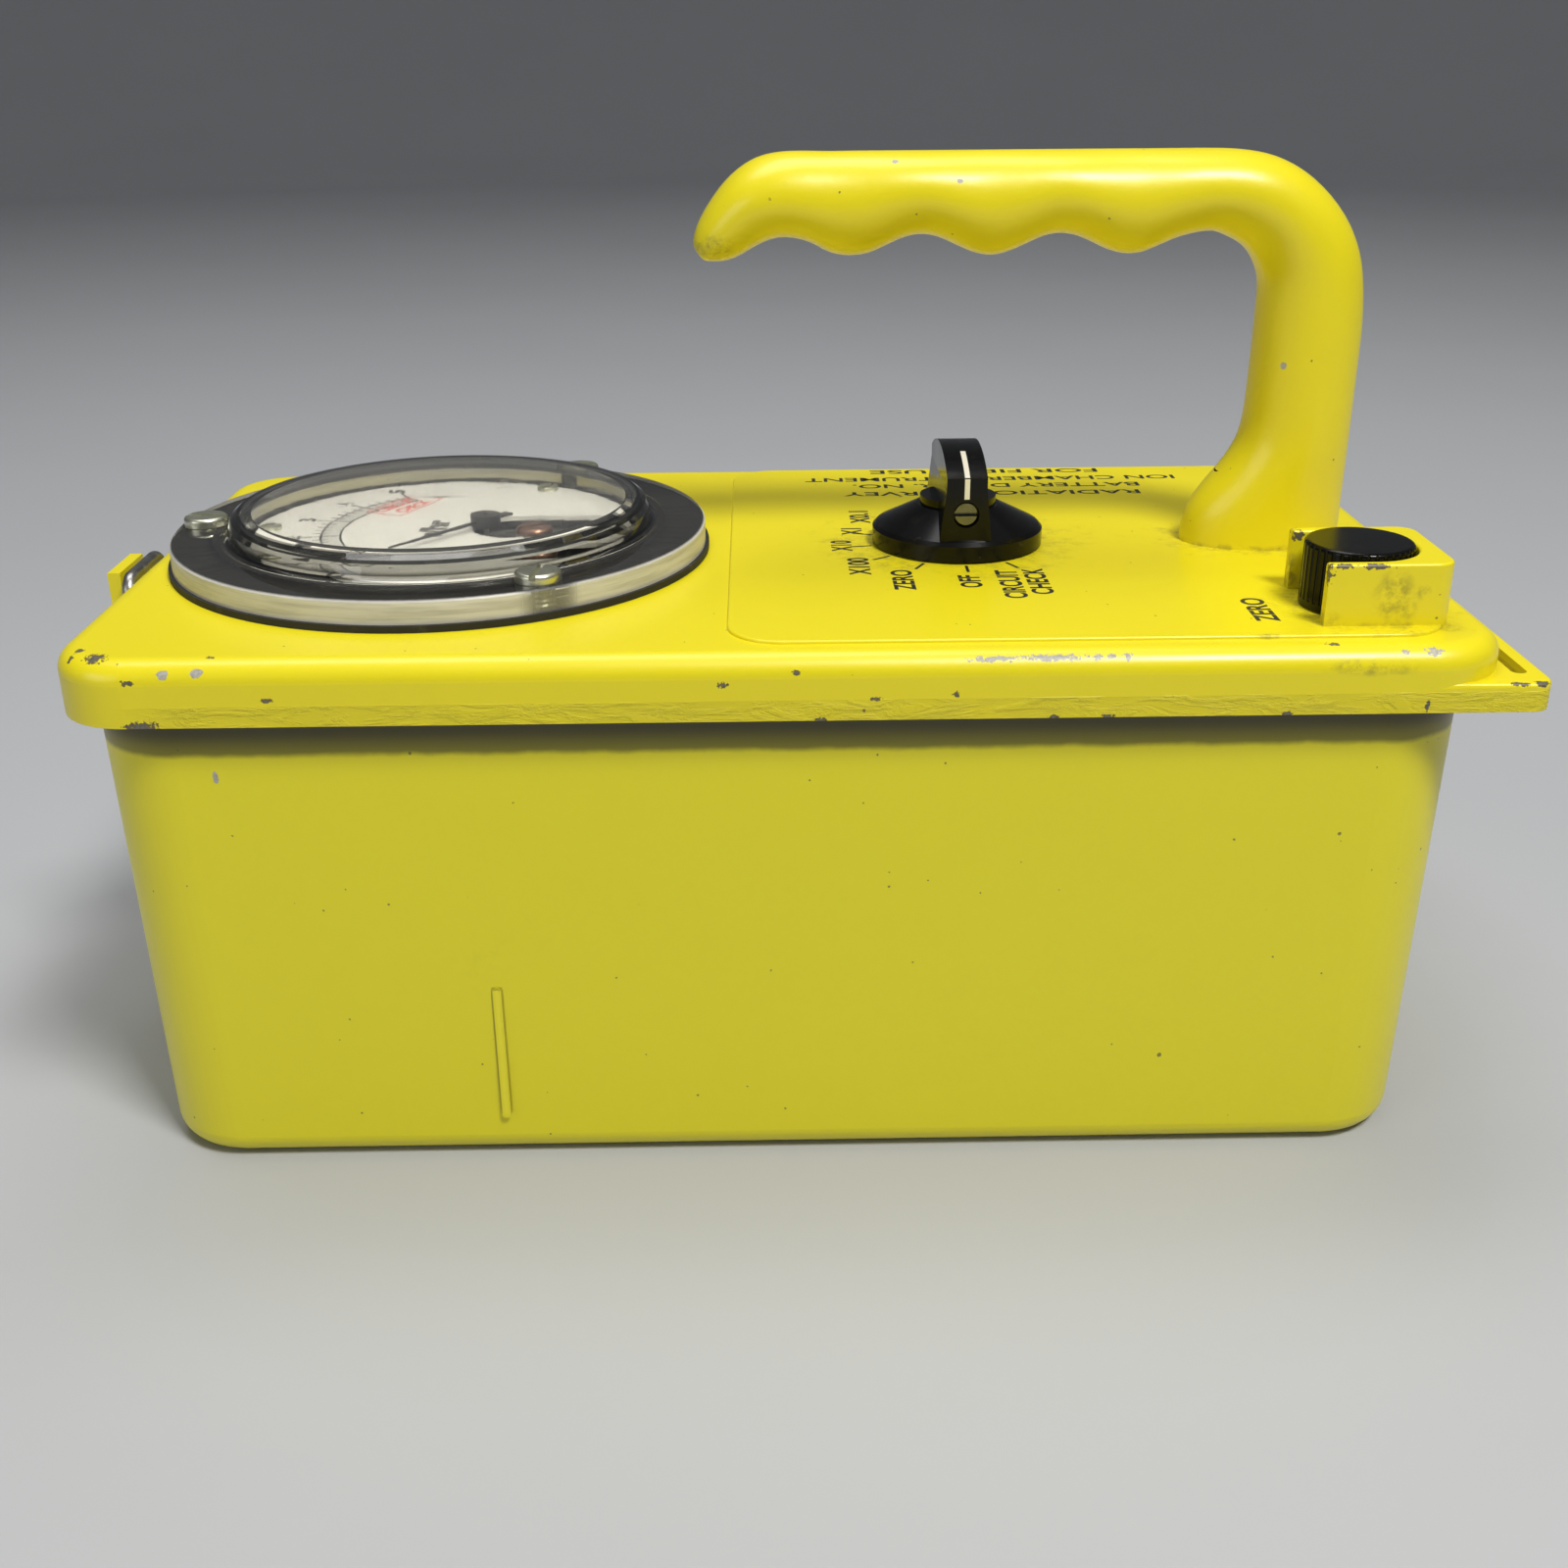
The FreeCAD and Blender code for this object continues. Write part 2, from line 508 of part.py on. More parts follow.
def make_zero_control():
    """Potentiometer body with its threaded bushing and three solder tags."""
    low = 71.0
    bushing = cylinder(BUSHING, low, PAD_TOP + 2.3, ZERO_AXIS)
    can = cylinder(10.5, low, ROOF_UNDER, ZERO_AXIS)
    tags = box(ZERO_AXIS[0] - 6, ZERO_AXIS[0] + 6, ZERO_AXIS[1] + 9, ZERO_AXIS[1] + 15, low + 2, low + 3)
    return fused(can, bushing, tags).cut(cylinder(SHAFT + RUNNING_GAP, low + 1.5, 200, ZERO_AXIS))


# --- works inside the box -----------------------------------------------------------
def make_board():
    size = (BOARD_X[1] - BOARD_X[0], BOARD_Y[1] - BOARD_Y[0])
    middle = (sum(BOARD_X) / 2, sum(BOARD_Y) / 2)
    holes = [cylinder(1.6, 0, 100, at) for at in STANDOFFS + stud_spots()]
    holes.append(cylinder(4.0, 0, 100, CHAMBER))
    return plate(*size, 3.0, BOARD_UNDER, BOARD_TOP, middle).cut(holes)


def make_standoffs():
    return group(hexagon(6.5, BOARD_TOP, ROOF_UNDER, at) for at in STANDOFFS)


def make_board_screws():
    """Screws up through the board, joined to blind threads in the standoffs."""
    return group(cylinder(1.6, BOARD_UNDER, BOARD_TOP, at).fuse(cylinder(3.0, BOARD_UNDER - 2, BOARD_UNDER, at))
                 for at in STANDOFFS)


def make_chamber_can():
    can = round_rim(cylinder(CHAMBER_RADIUS, CHAMBER_BASE, CHAMBER_TOP, CHAMBER), 2.0, CHAMBER_BASE)
    return can.cut(cylinder(CHAMBER_RADIUS - 1.2, CHAMBER_BASE + 1.2, CHAMBER_TOP + 1, CHAMBER))


def make_chamber_lid():
    cap = cylinder(CHAMBER_RADIUS, CHAMBER_TOP, CHAMBER_TOP + 1.5, CHAMBER)
    return cap.cut(cylinder(6.0, 0, 100, CHAMBER))


def make_collector():
    plate_disc = cylinder(27.0, 26.0, 27.5, CHAMBER)
    return fused(plate_disc, cylinder(1.5, 27.5, BOARD_TOP + 3, CHAMBER))


def make_insulator():
    """Stepped bush that carries the collector's stem through the lid and the board."""
    profile = [(1.5, 43.0), (4.0, 43.0), (4.0, 44.0), (6.0, 44.0), (6.0, 49.0), (3.9, 49.0), (3.9, 50.4),
               (1.5, 50.4)]
    return turned(profile, CHAMBER)


def make_chamber_studs():
    foot = CHAMBER_TOP + 1.5
    return group(hexagon(5.5, foot, BOARD_UNDER, at).fuse(cylinder(1.6, BOARD_UNDER, BOARD_TOP + 3.5, at))
                 for at in stud_spots())


def make_electrometer_tube():
    """Sub-miniature glass tube lying along the board."""
    y, z, radius = -36.0, BOARD_TOP + 6.6, 5.0
    bulb = rod(radius, (20, y, z), (52, y, z)).fuse(Part.makeSphere(radius, Vec(52, y, z)))
    base = rod(radius - 0.8, (17, y, z), (20, y, z))
    return fused(bulb, base)


def make_tube_clip():
    y, z = -36.0, BOARD_TOP + 6.6
    strap = box(33, 39, y - 6, y + 6, BOARD_TOP, z + 2.5)
    return strap.cut(rod(5.0, (10, y, z), (70, y, z))).removeSplitter()


def make_transformer():
    """Oscillator transformer: laminated core with its winding showing at both sides."""
    x, y, z = 80.0, 24.0, BOARD_TOP
    core = box(x - 12, x + 12, y - 8, y + 8, z, z + 20)
    winding = plate(15, 24, 4, z + 4, z + 16, (x, y))
    return fused(core, winding)


def axial(body, half, start, x, y, z):
    """Component body lying along X with its two leads bent down to the board."""
    lead, reach = 0.4, half + 4
    parts = [rod(body, (x - half, y, z), (x + half, y, z)), rod(lead, (x - reach, y, z), (x + reach, y, z))]
    parts += [rod(lead, (x + s * reach, y, start), (x + s * reach, y, z + lead)) for s in (-1, 1)]
    return fused(*parts)


def make_resistors():
    rows = [axial(1.7, 4.5, BOARD_TOP, 2.0, y, BOARD_TOP + 2.2) for y in (-30, -22, -14, 14, 22, 30)]
    rows += [axial(2.6, 9.0, BOARD_TOP, 74.0, y, BOARD_TOP + 3.2) for y in (0, 9)]
    return group(rows)


def make_capacitors():
    return group(axial(4.0, 9.0, BOARD_TOP, 30.0, y, BOARD_TOP + 4.6) for y in (28, 39))


def make_battery_holder():
    x0, x1, y1, z0, z1 = CELL_X - 19.5, CELL_X + 19.5, 37.0, 5.2, CELL_Z + 3
    tray = plate(x1 - x0, 2 * y1, 2.0, z0, z1, (CELL_X, 0))
    pocket = rod(CELL_RADIUS + 0.1, (CELL_X, -y1 + 2, CELL_Z), (CELL_X, y1 - 2, CELL_Z))
    return tray.cut(pocket)


def make_cell():
    """Single D cell with its raised positive cap towards the rear."""
    can = rod(CELL_RADIUS, (CELL_X, -CELL_HALF, CELL_Z), (CELL_X, CELL_HALF - 2, CELL_Z))
    cap = rod(4.8, (CELL_X, CELL_HALF - 2, CELL_Z), (CELL_X, CELL_HALF, CELL_Z))
    return fused(can, cap)


def make_positive_contact():
    wall = 35.0
    return fused(box(CELL_X - 7, CELL_X + 7, wall - 0.8, wall, CELL_Z - 8, CELL_Z + 8),
                 rod(3.5, (CELL_X, CELL_HALF, CELL_Z), (CELL_X, wall - 0.8, CELL_Z)))


def make_negative_spring():
    """Conical coil spring that presses on the base of the cell."""
    wire, pitch, wide, narrow, back = 0.6, 1.35, 8.0, 5.0, -34.4
    height = -CELL_HALF - wire - back
    cone = -math.degrees(math.atan2(wide - narrow, height))
    helix = Part.makeHelix(pitch, height, wide, cone)
    section = Part.Wire(Part.makeCircle(wire, Vec(wide, 0, 0), Y))
    coil = Part.Wire(helix.Edges).makePipeShell([section], True, True)
    coil.rotate(Vec(0, 0, 0), X, -90)
    coil.translate(Vec(CELL_X, back, CELL_Z))
    return coil


def make_battery_bracket():
    """Sheet-metal hanger that carries the battery tray from the roof of the cover."""
    x0, x1, y1, low, sheet = CELL_X - 7, CELL_X + 7, 46.0, 4.0, 1.2
    strap = box(x0, x1, -y1, y1, low, low + sheet)
    legs = [box(x0, x1, y - sheet / 2, y + sheet / 2, low, ROOF_UNDER) for y in (-y1, y1)]
    ears = [box(x0, x1, y, y + 6, ROOF_UNDER - sheet, ROOF_UNDER) for y in (-y1, y1 - 6)]
    return fused(strap, *legs, *ears)


def make_battery_clamp():
    """Spring strap over the cell, hooked to the tray's two sides."""
    outer = rod(CELL_RADIUS + 1.3, (CELL_X, -5, CELL_Z), (CELL_X, 5, CELL_Z))
    inner = rod(CELL_RADIUS + 0.1, (CELL_X, -6, CELL_Z), (CELL_X, 6, CELL_Z))
    return outer.cut([inner, box(CELL_X - 30, CELL_X + 30, -6, 6, 0, CELL_Z + 3)])


# --- latches -----------------------------------------------------------------------
def bail_joint():
    """Where the bail hooks into the lever when the latch is shut."""
    inset = 0.6
    return LATCH_PIVOT[0] - inset, LATCH_PIVOT[1] - math.sqrt(LATCH_ARM ** 2 - inset ** 2)


def side_profile(corners, y0, y1):
    wire = Part.makePolygon([Vec(u, y0, z) for u, z in corners + corners[:1]])
    return Part.Face(wire).extrude(Vec(0, y1 - y0, 0))


def latch_bracket():
    """Base plate on the end of the pan with two ears for the lever's pin."""
    u, z = LATCH_PIVOT
    wall = case_size(z)[0] / 2
    base = plate(20, 22, 3, wall - 3, wall + BRACKET_SHEET)
    base.rotate(Vec(0, 0, 0), Y, 90)
    base.translate(Vec(0, 0, 54))
    ear_shape = [(wall - 2, 62.0), (u - 1.2, z + 1.35), (u + 0.6, z + 1.7), (u + 1.75, z + 0.4),
                 (u + 1.75, z - 0.4), (u + 1.0, z - 1.5), (wall - 2, 50.0)]
    ears = [side_profile(ear_shape, y, y + 1.2) for y in (-4.4, 3.2)]
    bracket = fused(base, *ears).cut([case_outer(0, SKIRT_Z), rod(1.45, (u, -20, z), (u, 20, z))])
    return bracket.cut([rod(1.5, (wall - 5, y, RIVET_Z), (wall + 5, y, RIVET_Z)) for y in RIVET_Y])


def latch_rivets():
    face, rivets = case_size(LATCH_PIVOT[1])[0] / 2 + BRACKET_SHEET, []
    for y in RIVET_Y:
        shank = rod(1.5, (face - 3, y, RIVET_Z), (face + 0.5, y, RIVET_Z))
        head = rod(2.5, (face, y, RIVET_Z), (face + 1.1, y, RIVET_Z))
        rivets.append(shank.fuse(head).cut(case_outer(0, SKIRT_Z)))
    return group(rivets)


def latch_pin():
    u, z = LATCH_PIVOT
    return rod(1.45, (u, -6.7, z), (u, 6.7, z))


def latch_lever():
    """Pressed lever: two cheeks on the pin, an outer web and a curled finger tip."""
    u, z = LATCH_PIVOT
    bu, bz = bail_joint()
    web_u, sheet, tip_z = u + 2.0, 1.2, 33.0
    web_shape = [(web_u, z + 1.0), (web_u + sheet, z + 1.0), (web_u + sheet, 40.5), (LEVER_TIP, 36.0),
                 (LEVER_TIP, tip_z), (LEVER_TIP - sheet, tip_z), (LEVER_TIP - sheet, 35.6), (web_u, 40.5)]
    web = side_profile(web_shape, -6.2, 6.2)
    cheek_shape = [(web_u + sheet, z + 1.0), (u + 1.0, z + 2.6), (u - 1.4, z + 2.6), (u - 2.6, z + 1.0),
                   (bu - 2.2, bz), (bu - 1.4, bz - 2.2), (bu + 0.6, bz - 2.8), (web_u, 50.0),
                   (web_u + sheet, 50.0)]
    cheeks = [side_profile(cheek_shape, y, y + 1.2) for y in (-6.2, 5.0)]
    lever = fused(web, *cheeks)
    return lever.cut([rod(1.5, (u, -20, z), (u, 20, z)), rod(BAIL_WIRE + 0.05, (bu, -20, bz), (bu, 20, bz))])


def latch_bail(bar_u):
    """Bent steel wire: bar over the keeper, two legs and two hooked ends."""
    bu, bz = bail_joint()
    bend, hook_end = 2.6, 4.9
    top, half = Vec(bar_u, 0, BAIL_BAR_Z), BAIL_HALF
    down = (Vec(bu, 0, bz) - top).normalize()

    def corner(before, apex, after):
        """Start, arc and end of the bend at apex."""
        a = apex + (before - apex).normalize() * bend
        b = apex + (after - apex).normalize() * bend
        middle = apex + ((a + b) * 0.5 - apex) * (2 - math.sqrt(2))
        return a, Part.Arc(a, middle, b).toShape(), b

    left_top, right_top = top + Y * -half, top + Y * half
    left_low, right_low = (Vec(bu, s * half, bz) for s in (-1, 1))
    start1, bend1, end1 = corner(left_low, left_top, right_top)
    start2, bend2, end2 = corner(left_top, right_top, right_low)
    path = Part.Wire([Part.makeLine(left_low, start1), bend1, Part.makeLine(end1, start2), bend2,
                      Part.makeLine(end2, right_low)])
    profile = Part.Wire(Part.makeCircle(BAIL_WIRE, left_low, down))
    wire = path.makePipeShell([profile], True, False)
    for side in (-1, 1):
        hook = rod(BAIL_WIRE, (bu, side * hook_end, bz), (bu, side * half, bz))
        wire = wire.fuse([hook, Part.makeSphere(BAIL_WIRE, Vec(bu, side * half, bz))])
    return wire


def save_latch(name, side, bar_u):
    shapes = {"latch_bracket": latch_bracket(), "latch_rivets": latch_rivets(), "latch_pin": latch_pin(),
              "latch_lever": latch_lever(), "latch_bail": latch_bail(bar_u)}
    for part, shape in shapes.items():
        save(part + "_" + name, shape if side > 0 else shape.mirror(Vec(0, 0, 0), X))


# --- build -------------------------------------------------------------------------
def housing_shapes():
    return {
        "case_bottom": make_case(), "case_gasket": make_case_gasket(), "top_cover": make_cover(),
        "handle": make_handle(), "handle_screws": make_handle_screws(),
    }


def meter_shapes():
    return {
        "meter_gasket": make_meter_gasket(), "meter_window": make_window(),
        "meter_seal_ring": ring(*SEAL_RING, FLANGE_TOP - 0.7, FLANGE_TOP - 0.05, METER),
        "meter_barrel": make_barrel(), "meter_screws": make_meter_screws(), "meter_nuts": make_meter_nuts(),
        "meter_terminals": make_terminals(), "meter_dial": make_dial(), "dial_screws": make_dial_screws(),
        "movement_base": make_movement_base(), "movement_magnet": make_magnet(), "movement_core": make_core(),
        "moving_coil": make_coil(), "meter_pointer": make_pointer(), "hairspring": make_hairspring(),
        "movement_bridge": make_bridge(), "meter_zero_screw": make_zero_screw(),
    }


def control_shapes():
    return {
        "range_knob": make_range_knob(), "range_set_screw": make_set_screw(),
        "range_shaft": control_shaft(RANGE_AXIS, 59.0, 99.0), "range_switch": make_range_switch(),
        "range_nut": control_nut(RANGE_AXIS), "zero_knob": make_zero_knob(),
        "zero_shaft": control_shaft(ZERO_AXIS, 72.6, COVER_TOP + 9.0), "zero_control": make_zero_control(),
        "zero_nut": control_nut(ZERO_AXIS),
    }


def inside_shapes():
    return {
        "circuit_board": make_board(), "board_standoffs": make_standoffs(), "board_screws": make_board_screws(),
        "chamber_can": make_chamber_can(), "chamber_lid": make_chamber_lid(),
        "chamber_collector": make_collector(), "chamber_insulator": make_insulator(),
        "chamber_studs": make_chamber_studs(), "electrometer_tube": make_electrometer_tube(),
        "tube_clip": make_tube_clip(), "transformer": make_transformer(), "resistors": make_resistors(),
        "capacitors": make_capacitors(), "battery_holder": make_battery_holder(), "battery_cell": make_cell(),
        "battery_positive_contact": make_positive_contact(),
        "battery_negative_spring": make_negative_spring(), "battery_bracket": make_battery_bracket(),
        "battery_clamp": make_battery_clamp(),
    }


def latch_shapes(name, side, bar_u):
    shapes = {"latch_bracket": latch_bracket(), "latch_rivets": latch_rivets(), "latch_pin": latch_pin(),
              "latch_lever": latch_lever(), "latch_bail": latch_bail(bar_u)}
    return {part + "_" + name: shape if side > 0 else shape.mirror(Vec(0, 0, 0), X)
            for part, shape in shapes.items()}


def main():
    os.makedirs("parts", exist_ok=True)
    shapes = {**housing_shapes(), **meter_shapes(), **control_shapes(), **inside_shapes()}
    for name, (side, bar_u, _, _) in LATCHES.items():
        shapes.update(latch_shapes(name, side, bar_u))
    for name, shape in shapes.items():
        shape.exportStep("parts/" + name + ".step")


main()
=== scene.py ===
import math

import bmesh
import bpy
from mathutils import Matrix, Vector
from mathutils.bvhtree import BVHTree


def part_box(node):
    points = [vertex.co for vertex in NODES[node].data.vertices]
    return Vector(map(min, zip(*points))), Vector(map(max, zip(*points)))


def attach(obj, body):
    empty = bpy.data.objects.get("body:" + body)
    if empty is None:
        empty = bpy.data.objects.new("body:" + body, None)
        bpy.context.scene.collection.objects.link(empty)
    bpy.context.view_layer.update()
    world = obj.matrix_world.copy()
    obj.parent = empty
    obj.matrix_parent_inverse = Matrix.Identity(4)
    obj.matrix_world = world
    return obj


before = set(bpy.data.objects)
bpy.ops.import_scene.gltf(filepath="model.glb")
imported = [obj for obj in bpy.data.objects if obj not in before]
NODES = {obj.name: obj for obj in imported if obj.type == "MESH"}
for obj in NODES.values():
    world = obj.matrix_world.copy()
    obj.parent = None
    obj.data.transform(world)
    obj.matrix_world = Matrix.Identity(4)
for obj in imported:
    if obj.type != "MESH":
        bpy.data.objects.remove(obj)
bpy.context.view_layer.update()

MM = 0.001

# --- sizes and places, in millimetres of the CAD frame ----------------------------
CAMERA_PLACE, CAMERA_LENS, SENSOR = (-3.1, -290.6, 168.3), 40.07, 36.0
CAMERA_YAW, CAMERA_PITCH, CAMERA_ROLL = 0.78, 23.49, -0.42

# lower edge of the cover, and top of its raised pad
SKIRT, PAD_TOP = 76.8, 87.0
# meter window: its axis, its flange's radius and top, the middle of its dome's wall, and its front screw
METER, FLANGE, FLANGE_TOP = (-56.7, 0.0), 44.45, 91.4
DOME_WALL, FRONT_SCREW = 34.6, (-36.7, -34.64)
# dial: the pointer's axis, the scale's two arcs, its first angle and its units
PIVOT, SCALE_RADII, NUMBER_RADIUS, DIAL_IN_SIGHT = (-49.5, 0.0), (27.4, 24.2), 32.2, 30.5
SCALE_START, DEGREES_PER_UNIT, SCALE_UNITS = -128.0, -20.8, 5
# range knob: its axis, and its places counted from straight ahead
RANGE_AXIS, RANGE_STEP, RANGE_POSITIONS = (30.7, 0.0), 27, (-1, 0, 1, 2, 3, 4, 5)
# short upright bead on the front of the pan
BEAD_X, BEAD_Z = -44.8, (7.7, 31.2)
# thickness of printed ink
INK = 0.03

# words, length, height, middle of the word; all read towards +Y
RANGE_WORDS = [
    ("X1", 4.2, 3.6, (13.1, 6.9)),
    ("X10", 6.5, 3.6, (10.9, -2.2)),
    ("X100", 9.7, 3.6, (13.2, -14.5)),
    ("X0.1", 8.4, 3.6, (15.0, 16.6)),
    ("ZERO", 10.8, 3.5, (19.8, -22.4)),
    ("OFF", 6.6, 3.5, (30.4, -23.6)),
    ("CIRCUIT", 15.0, 3.6, (36.7, -25.2)),
    ("CHECK", 13.7, 3.5, (41.1, -23.9)),
    ("ZERO", 11.3, 3.6, (72.2, -39.8)),
]
# words, length, middle of the row; all upside down to someone at the front
PLATE_ROWS = [
    ("RADIATION SURVEY", 56.0, (41.0, 33.3)),
    ("BATTERY D   SER. NO.", 55.0, (42.5, 39.2)),
    ("ION CHAMBER INSTRUMENT", 72.0, (42.0, 44.7)),
    ("FOR FIELD USE", 45.0, (41.5, 50.7)),
]

# middle and half size of each patch worn through the paint
CHIPS = [
    (-97.9, -54.1, 86.3, 1.5, 1.3, 0.7), (-101.0, -51.0, 86.4, 0.6, 0.7, 0.5),
    (-101.9, -52.6, 85.8, 0.4, 0.6, 0.5), (-92.6, -57.2, 83.7, 1.0, 0.6, 0.4),
    (-73.3, -57.5, 80.8, 0.8, 0.5, 0.35), (-91.5, -57.5, 77.1, 2.3, 0.7, 0.7),
    (-81.2, -54.5, 86.4, 0.5, 0.4, 0.4), (-8.6, -57.5, 82.4, 0.6, 0.5, 0.4),
    (2.0, -57.2, 84.1, 0.6, 0.5, 0.35), (13.2, -57.5, 80.0, 0.9, 0.5, 0.3),
    (24.8, -57.5, 80.5, 0.5, 0.5, 0.4), (5.4, -57.5, 77.0, 0.8, 0.6, 0.3),
    (38.9, -57.5, 77.0, 0.7, 0.6, 0.3), (46.7, -57.5, 77.0, 0.8, 0.6, 0.3),
    (72.6, -57.5, 77.0, 0.7, 0.6, 0.3), (78.9, -54.5, 86.4, 0.9, 0.5, 0.4),
    (92.7, -57.5, 78.0, 0.3, 0.5, 0.7), (81.5, -48.1, 96.1, 1.2, 0.6, 0.45),
    (86.2, -48.1, 96.1, 1.9, 0.6, 0.45), (79.5, -47.6, 94.7, 0.6, 0.8, 1.5),
    (80.2, -29.2, 95.4, 0.8, 1.6, 0.8), (109.2, -56.9, 81.0, 1.1, 0.7, 0.45),
    (105.7, -57.3, 81.1, 1.5, 0.5, 0.3), (104.9, 47.0, 84.8, 0.9, 1.4, 0.9),
    (-103.5, 49.5, 85.0, 1.3, 1.2, 0.9), (30.0, 57.0, 84.8, 2.4, 0.6, 0.4),
    (-102.8, -46.0, 1.0, 0.9, 1.6, 0.7), (99.8, 44.0, 1.1, 1.4, 1.2, 0.7),
    (-20.0, 51.6, 0.9, 2.0, 0.7, 0.5), (-60.0, 57.4, 79.0, 0.9, 0.5, 0.4),
]
# middle and half size of each spot rubbed bright through the paint in a ragged streak
RUBS = [
    (30.4, -56.4, 85.5, 3.4, 0.5, 0.35), (38.6, -56.4, 85.6, 4.2, 0.5, 0.45),
    (44.9, -56.4, 85.6, 0.6, 0.5, 0.5), (46.9, -56.4, 85.6, 0.5, 0.5, 0.5),
    (49.2, -56.4, 85.6, 0.6, 0.5, 0.5), (93.1, -56.2, 85.7, 1.1, 0.6, 0.6),
    (88.9, -56.2, 85.7, 0.5, 0.4, 0.35),
]
# middle and half size of each clean-edged spot knocked out of the paint
KNOCKS = [
    (-87.6, -57.0, 84.7, 0.75, 0.6, 0.75), (-82.9, -57.0, 84.9, 0.9, 0.6, 0.8),
    (82.0, -6.4, 117.3, 0.5, 0.6, 0.6), (18.7, -4.8, 148.8, 0.5, 0.5, 0.3),
    (28.6, -7.2, 146.1, 0.5, 0.5, 0.3), (-83.2, -54.2, 67.7, 0.4, 0.5, 0.9),
]
# middle and half size of each soft stain on the paint; the last three, flat on the pad around the
# handle's foot, the zero knob's guard and the range knob, are painted shade around those bases as well
# as grime
STAINS_AND_BASE_SHADE = [
    (89.6, -48.2, 91.5, 2.6, 1.5, 3.0), (93.4, -48.2, 92.0, 1.0, 1.0, 1.0),
    (84.0, -57.2, 83.7, 4.6, 1.5, 0.9), (98.0, -47.5, 86.5, 2.4, 2.4, 0.9),
    (70.4, -51.9, 86.9, 1.4, 0.6, 0.5), (79.6, -38.0, 87.6, 2.0, 9.0, 1.4),
    (79.4, -29.0, 89.5, 1.3, 2.4, 3.6), (-9.6, -3.8, 136.3, 2.6, 3.6, 1.9),
    (82.4, 0.0, 87.0, 14.2, 9.0, 0.7), (88.9, -37.8, 87.0, 10.6, 11.6, 0.6),
    (30.7, 0.0, 87.0, 16.0, 16.0, 0.5),
]


